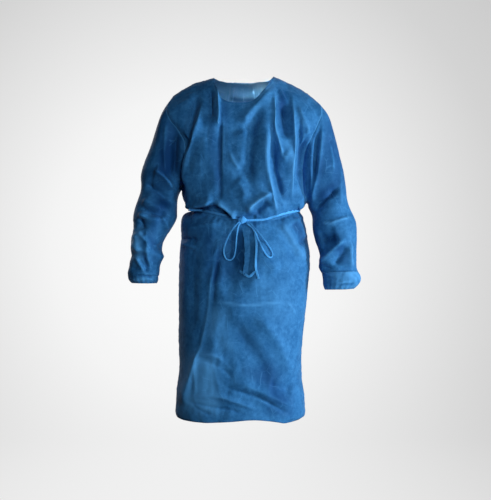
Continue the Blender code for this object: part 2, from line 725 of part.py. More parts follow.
def build_ties(colour):
    """Waist ties, bow and neck tie."""
    for is_left in (True, False):
        path, facing = waist_tie_path(is_left)
        name = "waist_tie_left" if is_left else "waist_tie_right"
        widths = np.full(len(path), TIE_BUNCHED_WIDTH)
        strip_solid(name, path, facing, widths, colour)
    front_facing = np.array([0.0, -1.0, 0.0])
    for name, route, count, width in (
            ("bow_loop_long", LOOP_LONG, LOOP_POINTS, STRAND_WIDTH),
            ("bow_loop_short", LOOP_SHORT, LOOP_POINTS, STRAND_WIDTH),
            ("bow_end_narrow", END_NARROW, END_POINTS, STRAND_WIDTH),
            ("bow_end_flat", END_FLAT, END_POINTS, TIE_FLAT_WIDTH)):
        path = hanging_path(route, True, count)
        facing = np.tile(front_facing, (count, 1))
        strip_solid(name, path, facing, np.full(count, width), colour)
    knot = surface_at(KNOT_CENTRE.x, KNOT_CENTRE.z, True)
    knot[1] -= KNOT_CENTRE.off
    knot_solid("bow_knot", knot, KNOT_SIZE, colour)
    for name, route in (("neck_tie_left", NECK_END_LEFT), ("neck_tie_right", NECK_END_RIGHT)):
        path = hanging_path(route, False, END_POINTS)
        facing = np.tile(-front_facing, (END_POINTS, 1))
        strip_solid(name, path, facing, np.full(END_POINTS, TIE_BUNCHED_WIDTH), colour)
    knot = surface_at(NECK_KNOT_CENTRE.x, NECK_KNOT_CENTRE.z, False)
    knot[1] += NECK_KNOT_CENTRE.off
    knot_solid("neck_knot", knot, NECK_KNOT_SIZE, colour)


def cuff_grid(table, top_outer):
    """Outer points of a gathered cuff that starts on the sleeve's last ring."""
    count = 2 * GATHERS_PER_CUFF
    rings = np.stack([ring_points(ring, count) for ring in table])
    rings[0] = with_midpoints(top_outer)
    middles = rings[:, :-1].mean(axis=1, keepdims=True)
    wave = np.where(np.arange(count + 1) % 2 == 0, 1.0, -1.0)
    growth = smooth_step(np.arange(len(table)) / (len(table) - 1))
    depth = GATHER_DEPTH * growth[:, None] * wave[None, :]
    return rings + unit(rings - middles) * depth[..., None]


def build_cloth(colour):
    """Front, backs, sleeves and cuffs, each as its own wall."""
    front = front_grid()
    back_left, back_right = back_panels()
    front_top = shoulder_seam_columns(FRONT_COLUMNS, SHOULDER_COLUMNS)
    back_top = shoulder_seam_columns(BACK_COLUMNS, BACK_SHOULDER_COLUMNS)
    last = back_left.shape[1] - 1
    front_n = wall_normals(front, outward_sign(front, True), [0, FRONT_COLUMNS], front_top)
    left_n = wall_normals(back_left, outward_sign(back_left, False), [0], back_top[:last + 1])
    right_n = wall_normals(back_right, outward_sign(back_right, False), [last],
                           back_top[-last - 1:])
    first = len(LEVELS) + 1
    for is_left in (True, False):
        column = 0 if is_left else FRONT_COLUMNS
        back, back_n = (back_left, left_n) if is_left else (back_right, right_n)
        back_column = 0 if is_left else last
        share_seam_normals(front, front_n, column, back, back_n, back_column)
        loop = armhole_loop(front[first:, column], back[first:, back_column])
        table = SLEEVE_LEFT if is_left else SLEEVE_RIGHT
        sleeve = sleeve_grid(table, loop)
        sleeve_n = grid_normals(sleeve, closed=True)
        centre = sleeve.mean(axis=1, keepdims=True)
        if np.sum(sleeve_n * (sleeve - centre)) < 0:
            sleeve_n = -sleeve_n
        torso_n = armhole_loop(front_n[first:, column], back_n[first:, back_column])
        shared = unit(unit(torso_n) + sleeve_n[0])
        sleeve_n[0] = shared
        front_n[first:, column] = shared[:YOKE_ROWS + 1][::-1]
        back_n[first:, back_column] = shared[YOKE_ROWS:]
        towards = sleeve[1] - sleeve[0]
        sleeve[0] += seam_offset(loop, shared, towards)
        inner = sleeve - sleeve_n * WALL
        side = "left" if is_left else "right"
        cloth_wall("sleeve_" + side, sleeve, inner, True, colour)
        end = np.gradient(sleeve, axis=0)[-1]
        top = sleeve[-1] + unit(end) * SEAM_GAP
        cuff = cuff_grid(CUFF_LEFT if is_left else CUFF_RIGHT, top)
        cuff_n = grid_normals(cuff, closed=True)
        if np.sum(cuff_n * (cuff - cuff.mean(axis=1, keepdims=True))) < 0:
            cuff_n = -cuff_n
        inner = cuff - cuff_n * WALL
        inner[0] = with_midpoints(sleeve[-1] - sleeve_n[-1] * WALL + unit(end) * SEAM_GAP)
        cloth_wall("cuff_" + side, cuff, inner, True, colour)
    cloth_wall("front", front, front - front_n * WALL, False, colour)
    cloth_wall("back_left", back_left, back_left - left_n * WALL, False, colour)
    cloth_wall("back_right", back_right, back_right - right_n * WALL, False, colour)


def with_midpoints(points):
    """Ring with a point added in the middle of each side."""
    ring = np.empty((2 * (len(points) - 1) + 1, 3))
    ring[::2] = points
    ring[1::2] = (points[:-1] + points[1:]) / 2
    return ring


def outward_sign(points, is_front):
    """1 where a panel's grid normals already point away from the wearer, -1 otherwise."""
    facing = grid_normals(points)[:, points.shape[1] // 2, 1].mean()
    return 1.0 if (facing < 0) == is_front else -1.0


def share_seam_normals(front, front_n, column, back, back_n, back_column):
    """Gives both sides of a side seam the same normals."""
    both = unit(front_n[:, column] + back_n[:, back_column])
    front_n[:, column] = both
    back_n[:, back_column] = both


def main():
    """Clears the scene and builds the gown."""
    for thing in list(bpy.data.objects):
        bpy.data.objects.remove(thing)
    build_cloth(CLOTH_COLOUR)
    build_ties(TIE_COLOUR)


main()
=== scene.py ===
"""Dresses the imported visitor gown: creased nonwoven panels, gathered cuffs, ties and a studio."""

import logging
import math
from dataclasses import dataclass, field
from enum import Enum
from typing import Sequence

import bmesh
import bpy
import numpy as np
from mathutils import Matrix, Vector, kdtree, noise
from mathutils.bvhtree import BVHTree


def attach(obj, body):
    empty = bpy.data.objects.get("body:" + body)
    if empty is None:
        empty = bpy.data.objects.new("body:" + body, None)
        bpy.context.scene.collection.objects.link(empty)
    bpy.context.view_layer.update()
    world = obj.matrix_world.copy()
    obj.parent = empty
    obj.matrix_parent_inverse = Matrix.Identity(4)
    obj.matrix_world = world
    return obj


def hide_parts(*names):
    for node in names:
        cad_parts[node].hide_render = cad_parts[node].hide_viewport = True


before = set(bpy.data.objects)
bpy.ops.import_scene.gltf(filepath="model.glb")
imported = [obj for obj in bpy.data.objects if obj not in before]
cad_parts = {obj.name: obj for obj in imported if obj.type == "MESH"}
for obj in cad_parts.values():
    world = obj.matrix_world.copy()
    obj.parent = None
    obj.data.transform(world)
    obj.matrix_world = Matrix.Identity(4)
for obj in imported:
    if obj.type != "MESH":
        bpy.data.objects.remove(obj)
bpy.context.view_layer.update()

LOG = logging.getLogger("gown")
BODY = "root"
MM = 0.001
# Vector noise starts from the clock unless it is given a seed.
NOISE_SEED = 5
# Sleeves lie further than this from the middle, in metres.
SLEEVE_SIDE = 0.24
# The torso's ovals follow |x|^n + |y|^n = 1.
OVAL_POWER = 2.25
Point = tuple[float, float]
Triple = tuple[float, float, float]
MATERIALS: dict[str, bpy.types.Material] = {}


def smooth_step(value: np.ndarray) -> np.ndarray:
    """Soft step from 0 to 1."""
    value = np.clip(value, 0.0, 1.0)
    return value * value * (3 - 2 * value)


def facing(normals: np.ndarray, way: int) -> np.ndarray:
    """How much cloth faces the front (way -1) or the back (way 1), from 0 to 1."""
    return smooth_step((0.2 + way * normals[:, 1]) / 0.5)


def oval(share: np.ndarray) -> np.ndarray:
    """Half height of the torso's oval at a share of its half width, both from 0 to 1."""
    return np.clip(1 - np.abs(share) ** OVAL_POWER, 0, 1) ** (1 / OVAL_POWER)


def spline(points: Sequence[Sequence[float]], steps: int) -> np.ndarray:
    """Points of a smooth curve through a few given ones.

    Args:
        points: the points that the curve passes, each of the same number of coordinates.
        steps: how many pieces each stretch between two points is cut into.

    Returns:
        An array with one row for each point of the curve.
    """
    given = np.array(points, float)
    ends = np.concatenate([[2 * given[0] - given[1]], given, [2 * given[-1] - given[-2]]])
    t = np.linspace(0, 1, steps, endpoint=False)[:, None]
    rows = []
    for a, b, c, d in zip(ends, ends[1:], ends[2:], ends[3:]):
        rows.append(0.5 * (2 * b + (c - a) * t + (2 * a - 5 * b + 4 * c - d) * t ** 2
                           + (3 * b - a - 3 * c + d) * t ** 3))
    return np.concatenate([*rows, given[-1:]])


class Zone(Enum):
    """Which stretch of cloth a crease lies in."""

    TORSO_FRONT = "torso front"
    TORSO_BACK = "torso back"
    RIGHT_FRONT = "right sleeve's front"
    RIGHT_BACK = "right sleeve's back"
    LEFT_FRONT = "left sleeve's front"
    LEFT_BACK = "left sleeve's back"

    @property
    def is_back(self) -> bool:
        """Whether the zone faces away from the front."""
        return self.name.endswith("BACK")

    @property
    def is_sleeve(self) -> bool:
        """Whether the zone lies on a sleeve."""
        return not self.name.startswith("TORSO")


@dataclass(frozen=True)
class CreaseForm:
    """Proportions that all creases share. A wide crease has flat facets beside its fold."""

    steps: int = 4
    fold_share: float = 0.8
    rounding: float = 0.8
    soft_power: float = 2.0
    crisp_power: float = 0.9
    facet_spread: float = 3.0
    facet_power: float = 1.3
    facet_edge: float = 0.045
    narrow: float = 4.0
    reach: float = 2.4
    end_share: float = 0.22
    end_rise: float = 0.2
    # Painted highlight along pressed ridges: from which crispness, how strong and how wide; then how
    # far painted light and shade spread beside a crease.
    pressed_from: float = 0.4
    ridge_highlight: float = 1.5
    line_width: float = 4.4
    tone_spread: float = 1.3


FORM = CreaseForm()


@dataclass(frozen=True)
class Crease:
    """A ridge, or a trough where rise is below 0, along points of x and z in millimetres.

    crisp goes from 0, a soft swell, to 1, a pressed line, which also gets a painted highlight. lean
    makes the side to the left of the way along the points wider, or narrower where it is below 0. The
    last field is painted light over the crease's width, a painted highlight, or painted shade below 0.
    """

    points: tuple[Point, ...]
    width: float
    rise: float
    crisp: float = 0.4
    lean: float = 0.0
    painted_light: float = 0.0

    def _nearest(self, line: np.ndarray, x: np.ndarray, z: np.ndarray) -> tuple[np.ndarray, ...]:
        """Where places lie beside the crease's line.

        Args:
            line: points of the line.
            x: the places' x in millimetres.
            z: the places' z in millimetres.

        Returns:
            For each place its distance, its side as 1 or -1, and its share of the way along.
        """
        best = np.full(len(x), 1e9)
        side = np.zeros(len(x))
        share = np.zeros(len(x))
        for i, (start, end) in enumerate(zip(line, line[1:])):
            run = end - start
            along = ((x - start[0]) * run[0] + (z - start[1]) * run[1]) / (run @ run)
            at = np.clip(along, 0, 1)
            dx = x - start[0] - at * run[0]
            dz = z - start[1] - at * run[1]
            away = np.hypot(dx, dz)
            closer = away < best
            best = np.where(closer, away, best)
            side = np.where(closer, np.sign(run[0] * dz - run[1] * dx), side)
            share = np.where(closer, (i + at) / (len(line) - 1), share)
        return best, side, share

    def relief(self, x: np.ndarray, z: np.ndarray) -> np.ndarray:
        """How far the crease lifts the cloth, and the painted light and shade that it adds.

        Args:
            x: places' x in millimetres.
            z: places' z in millimetres.

        Returns:
            A row of lifts in millimetres and a row of painted light from -1, painted shade, to 1,
            painted highlight.
        """
        line = spline(self.points, FORM.steps)
        reach = FORM.reach * FORM.facet_spread * self.width
        low, high = line.min(axis=0) - reach, line.max(axis=0) + reach
        near = (x > low[0]) & (x < high[0]) & (z > low[1]) & (z < high[1])
        relief = np.zeros((2, len(x)))
        if not near.any():
            return relief
        away, side, share = self._nearest(line, x[near], z[near])
        width = self.width * (1 + self.lean * side * np.tanh(away / self.width))
        rounded = np.hypot(away, FORM.rounding) - FORM.rounding
        fold = np.exp(-(rounded / width) ** (FORM.soft_power - FORM.crisp_power * self.crisp))
        flatter = rounded / (FORM.facet_spread * width)
        facet = np.exp(-flatter ** FORM.facet_power) - FORM.facet_edge
        ends = smooth_step(np.minimum(share, 1 - share) / FORM.end_share)
        broad = min(max((self.width - FORM.narrow) / FORM.narrow, 0.0), 1.0)
        lift = FORM.fold_share * fold + broad * np.maximum(facet, 0)
        relief[0, near] = self.rise * lift * (FORM.end_rise + (1 - FORM.end_rise) * ends)
        # A pressed ridge gets a painted highlight along its line; the last field paints light, or shade
        # where it is below 0, over the crease's width.
        pressed = max(0.0, self.crisp - FORM.pressed_from) if self.rise > 0 else 0.0
        relief[1, near] = FORM.ridge_highlight * pressed * ends * np.exp(-(away / FORM.line_width) ** 2)
        relief[1, near] += self.painted_light * ends * np.exp(-(away / (FORM.tone_spread * self.width)) ** 2)
        return relief


def fold(width: float, rise: float, crisp: float, *points: Point, lean: float = 0.0,
         painted_light: float = 0.0) -> Crease:
    """A crease along its points."""
    return Crease(points, width, rise, crisp, lean, painted_light)


def shade(width: float, painted_light: float, *points: Point) -> Crease:
    """Painted light, or painted shade below 0, along its points, without relief."""
    return Crease(points, width, 0.0, painted_light=painted_light)


WAIST_LINE = ((-177, -434), (-171, -435), (-125, -451), (-60, -465), (-6, -474), (60, -474),
              (103, -471), (135, -459), (174, -443), (182, -440))

# The creases' paler and deeper amounts and all shade() entries are painted light and painted shade in
# the cloth's colour.
CREASES: dict[Zone, tuple[Crease, ...]] = {
    Zone.TORSO_FRONT: (
        # Chest, from the neck down.
        fold(4.5, -3.5, 0.7, (-75, -62), (-76, -165), (-77, -261), (-76, -373), (-80, -408),
             painted_light=-0.6),
        fold(3, 1.5, 0.7, (-69, -110), (-69, -184), (-70, -261), (-71, -363)),
        fold(7, 7.0, 0.6, (-88, -30), (-86, -101), (-84, -149), (-84, -172), painted_light=0.35),
        fold(10, -7.0, 0.4, (-110, -44), (-110, -100), (-108, -146)),
        fold(12, 8.5, 0.6, (-132, -62), (-142, -133), (-161, -197), (-180, -250), (-188, -300),
             (-189, -345), (-184, -390)),
        fold(11, -7.0, 0.3, (-156, -53), (-172, -149), (-194, -254)),
        fold(15, 7.0, 0.4, (100, -36), (56, -88), (20, -130), (-12, -170), painted_light=0.25),
        fold(17, 6.0, 0.3, (-7, -171), (5, -209), (-1, -261), (-1, -315)),
        fold(17, -8.0, 0.2, (50, -100), (27, -165), (14, -229), (10, -293), (20, -357)),
        fold(8, 8.0, 0.8, (75, -165), (65, -229), (65, -293), (73, -345), (90, -402), (106, -450)),
        fold(8, 7.0, 0.85, (96, -40), (96, -133), (103, -184), (115, -235), (122, -280), painted_light=0.25),
        fold(7, 4.5, 0.6, (122, -282), (134, -268), (148, -245)),
        fold(5, 3.0, 0.6, (101, -303), (110, -318), (120, -336)),
        fold(8, 7.0, 0.8, (157, -62), (162, -149), (164, -229), (154, -293), (151, -341),
             (156, -416), painted_light=0.2),
        fold(6, 3.5, 0.6, (114, -38), (124, -69), (141, -93)),
        fold(6, 4.0, 0.6, (175, -98), (191, -139), (209, -178), (201, -205)),
        fold(6, 4.0, 0.6, (185, -140), (194, -197), (196, -231)),
        fold(4, 2.2, 0.8, (-46, -255), (-33, -286), (-13, -311)),
        fold(6, 2.5, 0.5, (-128, -156), (-103, -165), (-87, -158)),
        fold(12, -5.0, 0.3, (127, -85), (131, -150), (140, -215)),
        fold(10, -8.0, 0.4, (182, -150), (186, -215), (188, -290), (182, -395)),
        fold(9, -8.0, 0.4, (204, -200), (207, -270), (206, -350), (200, -405)),
        fold(10, -9.0, 0.4, (-203, -185), (-208, -260), (-208, -330), (-203, -390), painted_light=-0.7),
        fold(9, -5.0, 0.3, (96, -210), (98, -290), (112, -360), (134, -425)),
        shade(11, -0.4, (-99, -80), (-104, -200), (-97, -300), (-92, -400)),
        shade(13, -0.4, (132, -38), (134, -90), (130, -150)),
        shade(8, 0.35, (124, -176), (148, -250), (164, -335)),
        shade(11, -0.7, (122, -34), (121, -100), (130, -170), (138, -230)),
        shade(10, -0.5, (-66, -40), (-60, -110), (-66, -185)),
        shade(6, 0.7, (86, -160), (77, -229), (78, -293), (86, -350), (102, -410)),
        shade(11, -0.6, (100, -200), (102, -280), (116, -350), (134, -415)),
        shade(12, -0.9, (208, -190), (211, -270), (208, -360)),
        shade(8, 0.5, (99, -14), (84, -38), (60, -56)),
        shade(6, -0.4, (-84, -180), (-85, -280), (-85, -395)),
        # Above and below the waist tie.
        fold(5, -4.5, 0.4, (-210, -537), (-180, -534), (-150, -540)),
        fold(5, 4.0, 0.5, (-210, -552), (-182, -556), (-156, -566)),
        fold(7, 8.0, 0.95, (-98, -415), (-68, -432), (-46, -447), (-18, -463), painted_light=0.2),
        fold(9, 10.0, 0.5, (-192, -423), (-140, -419), (-96, -416)),
        fold(9, 8.5, 0.8, (80, -384), (42, -412), (0, -447), painted_light=0.35),
        fold(8, -7.0, 0.4, (-196, -439), (-135, -437), (-98, -434), (-66, -450), (-34, -468),
             painted_light=-0.9),
        fold(9, -6.0, 0.3, (80, -414), (58, -431), (34, -456), painted_light=-0.5),
        fold(15, 3.0, 0.3, (-30, -345), (-5, -372), (12, -410)),
        fold(9, 4.0, 0.4, (175, -340), (186, -372), (184, -410)),
        fold(12, 3.5, 0.3, (112, -478), (137, -505), (160, -540), (183, -580), (203, -616),
             painted_light=0.5),
        fold(11, -4.0, 0.4, (158, -476), (180, -512), (202, -565), painted_light=-0.7),
        fold(8, 6.0, 0.5, (160, -464), (184, -503), (196, -546)),
        fold(6, 3.0, 0.6, (-192, -505), (-146, -495), (-65, -486)),
        shade(7, 0.5, (86, -360), (94, -405), (106, -442)),
        shade(22, -0.4, (-176, -470), (-130, -506), (-86, -540)),
        shade(6, -0.6, (14, -446), (36, -457), (62, -453)),
        # Skirt.
        fold(20, 3.0, 0.2, (46, -492), (50, -560), (42, -640), (20, -710)),
        fold(24, -5.0, 0.1, (-40, -496), (-34, -580), (-46, -690), painted_light=-0.45),
        fold(9, 2.6, 0.7, (-58, -489), (-72, -526), (-88, -575), (-98, -639), (-107, -705),
             (-114, -766), (-126, -833), (-139, -894), (-156, -950), (-176, -1015), (-198, -1080)),
        fold(5, -3.0, 0.5, (-84, -590), (-92, -660), (-102, -750), painted_light=-0.4),
        fold(3.6, 1.8, 0.85, (-104, -737), (-33, -745), (17, -750), (80, -743), (136, -738)),
        fold(3.4, 1.8, 0.7, (139, -738), (157, -759), (168, -776)),
        fold(30, -4.5, 0.2, (-58, -775), (-16, -833), (20, -883), (50, -925), (80, -975),
             (104, -1020)),
        fold(20, 5.0, 0.3, (20, -770), (76, -820), (112, -880), (138, -940), (150, -1000)),
        fold(6, 2.5, 0.7, (-142, -905), (-101, -910), (-63, -929)),
        fold(4, -2.0, 0.5, (-143, -924), (-101, -937), (-56, -964), (-36, -988)),
        fold(22, -4.5, 0.2, (-92, -575), (-47, -607), (17, -643)),
        fold(20, 4.0, 0.2, (40, -540), (72, -600), (120, -640)),
        fold(24, -3.5, 0.1, (-166, -520), (-166, -640), (-170, -760), (-176, -850)),
        shade(14, -0.6, (-6, -488), (0, -560), (2, -650)),
        shade(22, 0.35, (-80, -750), (-72, -830), (-52, -910)),
        shade(18, -0.5, (-112, -510), (-113, -600), (-110, -690)),
        shade(12, -0.35, (-80, -560), (-76, -630), (-84, -700)),
        shade(20, -0.3, (-50, -790), (20, -870), (70, -935), (120, -1010)),
        shade(36, 0.2, (20, -660), (90, -720), (130, -820)),
        shade(9, 0.4, (-90, -745), (-98, -800), (-108, -870)),
        shade(7, -0.4, (-74, -530), (-88, -600), (-98, -690)),
        # Hem.
        fold(16, 5.0, 0.3, (-146, -880), (-158, -950), (-177, -1015), (-200, -1085)),
        fold(4.5, -3.4, 0.5, (-58, -1012), (-2, -1032), (53, -1050), (107, -1082), (150, -1106)),
        fold(3.6, -2.2, 0.5, (-190, -1062), (-140, -1072), (-88, -1080), (-42, -1086), (0, -1101),
             painted_light=-0.3),
        fold(8, 3.5, 0.6, (-178, -1046), (-88, -1043), (-33, -1059), (44, -1087)),
        fold(3.6, -2.0, 0.5, (-170, -1068), (-140, -1090), (-100, -1104), painted_light=-0.3),
        fold(10, 4.0, 0.5, (-20, -1000), (40, -1022), (110, -1056), (165, -1090)),
        fold(4, 2.4, 0.7, (-149, -937), (-151, -992), (-153, -1042)),
        fold(16, -6.0, 0.2, (80, -1008), (125, -1019), (163, -1030)),
        shade(28, -0.45, (50, -930), (100, -1000), (140, -1080)),
        shade(18, -0.35, (-20, -940), (50, -985), (124, -1030)),
        shade(34, 0.4, (-140, -870), (-136, -980), (-128, -1110)),
        shade(22, 0.5, (-164, -900), (-170, -1000), (-176, -1110)),
        shade(20, -0.4, (60, -1036), (120, -1060), (172, -1078)),
        shade(20, 0.9, (-112, -905), (-112, -1010), (-98, -1125)),
        shade(14, 0.5, (-202, -1076), (-198, -1105), (-190, -1134)),
        shade(12, -0.4, (60, -1082), (120, -1098), (172, -1108)),
        shade(24, 0.45, (-192, -1050), (-160, -1078), (-118, -1110)),
    ),
    Zone.TORSO_BACK: (
        # Chest, from the neck down.
        fold(10, 7.8, 0.6, (-150, -60), (-140, -140), (-152, -240), (-160, -330), painted_light=0.35),
        fold(12, -6.5, 0.3, (-105, -50), (-112, -150), (-98, -260), painted_light=-0.5),
        fold(5, 3.2, 0.8, (-62, -60), (-66, -200), (-64, -400), painted_light=0.35),
        fold(9, 7.8, 0.6, (112, -55), (124, -150), (120, -270), (98, -380), painted_light=0.35),
        fold(8, 7.8, 0.6, (160, -75), (166, -170), (150, -290), (140, -400), painted_light=0.35),
        fold(15, -6.5, 0.3, (70, -120), (78, -240), (62, -350), painted_light=-0.5),
        fold(14, -5.2, 0.2, (-40, -160), (-10, -200), (40, -225), painted_light=-0.5),
        shade(11, 1.0, (4, 2), (40, -8), (64, -16), (84, -40)),
        shade(8, -0.8, (-60, -52), (-6, -60), (48, -54)),
        shade(20, -0.5, (-20, -70), (-34, -150), (-30, -240)),
        # Above and below the waist tie.
        fold(9, 6.5, 0.6, (-120, -300), (-104, -360), (-92, -425), painted_light=0.35),
        fold(8, 5.9, 0.6, (34, -330), (46, -380), (52, -428), painted_light=0.35),
        fold(8, 6.5, 0.6, (-50, -465), (-46, -520), (-58, -590), painted_light=0.35),
        fold(8, 6.5, 0.6, (64, -466), (76, -530), (70, -610), painted_light=0.35),
        # Skirt.
        fold(11, 7.8, 0.5, (-96, -470), (-104, -540), (-98, -640), (-112, -760), painted_light=0.35),
        fold(11, 7.8, 0.5, (104, -470), (128, -560), (136, -690), (128, -850), painted_light=0.35),
        fold(4, 2.3, 0.9, (-140, -742), (-40, -748), (60, -744), (150, -740), painted_light=0.35),
        fold(20, -7.8, 0.2, (-150, -820), (-100, -880), (-60, -960), painted_light=-0.5),
        fold(17, -7.2, 0.2, (40, -860), (76, -940), (70, -1040), painted_light=-0.5),
        shade(26, -0.5, (-60, -500), (-20, -600), (-40, -740)),
        shade(26, -0.5, (40, -620), (90, -740), (80, -860)),
        # Hem.
        fold(9, 5.9, 0.5, (-130, -1010), (-60, -1034), (20, -1050), (90, -1076), painted_light=0.35),
        fold(8, -5.9, 0.5, (-160, -1060), (-90, -1084), (-20, -1090), painted_light=-0.5),
        fold(9, 5.9, 0.5, (150, -930), (156, -1010), (170, -1080), painted_light=0.35),
    ),
    Zone.RIGHT_FRONT: (
        fold(5, 2.6, 0.75, (-252, -132), (-259, -190), (-262, -243), (-260, -292), (-257, -315)),
        fold(11, -9.0, 0.3, (-226, -180), (-230, -270), (-224, -350)),
        fold(8, 7.0, 0.6, (-297, -309), (-275, -320), (-249, -349), (-236, -378), lean=-0.4),
        fold(9, -6.0, 0.4, (-330, -349), (-302, -369), (-275, -384), (-242, -411)),
        fold(10, 4.5, 0.4, (-335, -405), (-300, -424), (-262, -436)),
        fold(6, -6.5, 0.6, (-344, -427), (-311, -447), (-275, -455), (-256, -453)),
        fold(9, 6.0, 0.5, (-347, -449), (-315, -469), (-271, -471)),
        fold(6, 4.5, 0.6, (-273, -457), (-258, -479), (-248, -508)),
        fold(9, -5.5, 0.3, (-342, -464), (-336, -484), (-333, -505)),
        fold(7, 4.5, 0.6, (-352, -493), (-333, -525), (-317, -543), (-307, -568)),
        fold(6, 4.5, 0.6, (-317, -543), (-315, -596), (-301, -638)),
        fold(6, 4.5, 0.6, (-358, -585), (-333, -631), (-314, -655)),
        fold(7, 4.0, 0.5, (-366, -546), (-346, -565), (-324, -574), (-270, -588)),
        fold(8, -4.5, 0.3, (-335, -590), (-322, -620), (-318, -645)),
        fold(7, -4.0, 0.5, (-374, -629), (-333, -640), (-284, -616)),
        fold(6, -3.5, 0.4, (-258, -552), (-278, -562), (-300, -560)),
        fold(8, 2.6, 0.5, (-256, -588), (-272, -594), (-296, -590)),
        fold(6, -4.0, 0.4, (-354, -497), (-338, -511), (-322, -523)),
        fold(8, 4.0, 0.3, (-354, -512), (-347, -548), (-338, -592), painted_light=0.4),
        shade(24, -0.75, (-212, -90), (-234, -170), (-240, -260), (-234, -350)),
        shade(18, -0.45, (-262, -90), (-286, -150), (-292, -240)),
        shade(22, -0.4, (-330, -300), (-300, -340), (-270, -420), (-262, -440)),
        shade(20, -0.5, (-258, -220), (-256, -300), (-262, -380)),
        shade(24, -0.7, (-246, -400), (-270, -440), (-292, -480)),
        shade(18, -0.4, (-262, -190), (-266, -270), (-276, -340)),
        shade(14, 0.8, (-350, -480), (-352, -555), (-344, -620)),
        shade(15, -0.5, (-282, -462), (-300, -515), (-304, -570)),
        shade(13, -0.4, (-292, -530), (-290, -580), (-298, -622)),
    ),
    Zone.RIGHT_BACK: (
        fold(8, 5.5, 0.6, (-240, -140), (-262, -230), (-270, -320), painted_light=0.25),
        fold(9, 6.1, 0.5, (-318, -310), (-285, -345), (-250, -362), painted_light=0.25),
        fold(9, -6.1, 0.4, (-332, -380), (-300, -402), (-262, -398), painted_light=-0.45),
        fold(9, 6.6, 0.5, (-345, -440), (-305, -462), (-258, -456), painted_light=0.25),
        fold(8, -5.5, 0.4, (-350, -500), (-320, -520), (-280, -512), painted_light=-0.45),
        fold(7, 5.0, 0.6, (-340, -545), (-322, -590), (-330, -636), painted_light=0.25),
        fold(7, -4.4, 0.4, (-300, -560), (-292, -600), (-306, -640), painted_light=-0.45),
    ),
    Zone.LEFT_FRONT: (
        fold(5, 3.0, 0.8, (254, -136), (236, -186), (225, -234), (221, -292), (221, -353),
             (219, -395)),
        fold(6, 4.5, 0.7, (256, -148), (252, -221), (240, -318), (229, -380), (227, -422)),
        fold(8, -6.0, 0.4, (244, -180), (237, -250), (231, -345)),
        fold(4, 2.2, 0.8, (285, -212), (291, -274), (293, -312)),
        fold(6, -2.0, 0.3, (280, -200), (291, -234), (308, -267)),
        fold(8, -6.0, 0.5, (313, -362), (282, -393), (256, -419), (230, -443), painted_light=-0.6),
        fold(5, 4.0, 0.9, (290, -396), (265, -417), (241, -441)),
        fold(5, 3.0, 0.6, (318, -288), (317, -362), (322, -430)),
        fold(5, 3.0, 1.0, (247, -480), (282, -483), (313, -472), (355, -461)),
        fold(9, -1.6, 0.4, (250, -466), (300, -464), (346, -450)),
        fold(10, -6.5, 0.3, (245, -538), (274, -532), (304, -524)),
        fold(7, 4.5, 0.9, (333, -532), (300, -561), (269, -596), (255, -625)),
        fold(10, -4.0, 0.3, (342, -560), (314, -590), (292, -622)),
        fold(6, 4.0, 0.8, (351, -540), (349, -596), (353, -632)),
        fold(7, -5.0, 0.5, (252, -617), (278, -638), (313, -641), (357, -634)),
        shade(10, -0.6, (240, -160), (224, -230), (218, -300), (218, -400)),
        shade(10, -0.5, (226, -118), (230, -165), (222, -215)),
        shade(19, -0.35, (286, -490), (300, -535), (290, -590)),
        shade(14, -0.6, (312, -550), (322, -585), (318, -625)),
        shade(11, -0.7, (240, -524), (272, -536), (306, -530)),
        shade(24, -0.6, (268, -110), (296, -200), (310, -310), (306, -410)),
        shade(18, -0.45, (244, -250), (244, -340), (262, -430)),
        shade(12, -0.5, (304, -346), (266, -380), (234, -412)),
        shade(18, -0.3, (275, -180), (268, -260), (252, -350)),
    ),
    Zone.LEFT_BACK: (
        fold(8, 5.5, 0.6, (258, -150), (262, -250), (250, -350), painted_light=0.25),
        fold(9, 6.1, 0.5, (318, -320), (290, -352), (248, -372), painted_light=0.25),
        fold(9, -6.1, 0.4, (330, -400), (290, -418), (250, -410), painted_light=-0.45),
        fold(9, 6.6, 0.5, (350, -458), (310, -480), (258, -486), painted_light=0.25),
        fold(8, -5.5, 0.4, (352, -520), (320, -540), (270, -536), painted_light=-0.45),
        fold(7, 5.0, 0.6, (340, -560), (318, -600), (322, -634), painted_light=0.25),
        fold(7, -4.4, 0.4, (290, -570), (280, -600), (292, -632), painted_light=-0.45),
    ),
}

CUFF_CREASES: dict[str, tuple[Crease, ...]] = {
    "cuff_right": (
        fold(5, -2.6, 0.3, (-360, -651), (-335, -648), (-312, -654), (-300, -664), painted_light=-0.8),
        fold(4, 2.2, 0.5, (-384, -652), (-360, -643), (-330, -641), (-296, -652), painted_light=0.5),
        fold(4, 1.8, 0.5, (-378, -663), (-350, -669), (-318, -665), (-296, -672), painted_light=0.4),
        fold(4, -2.0, 0.3, (-384, -657), (-370, -661), (-352, -658), painted_light=-0.5),
    ),
    "cuff_left": (
        fold(14, 1.6, 0.2, (320, -642), (350, -654), (376, -676), painted_light=0.3),
        fold(3.4, -1.8, 0.3, (306, -690), (326, -683), (344, -684), (364, -678), painted_light=-0.7),
        fold(3.4, 1.6, 0.4, (300, -681), (324, -676), (350, -675), painted_light=0.4),
        fold(3.4, -1.6, 0.3, (352, -648), (370, -662), (378, -684), painted_light=-0.4),
        fold(12, -1.5, 0.2, (284, -654), (278, -672), (280, -698), painted_light=-0.6),
    ),
}


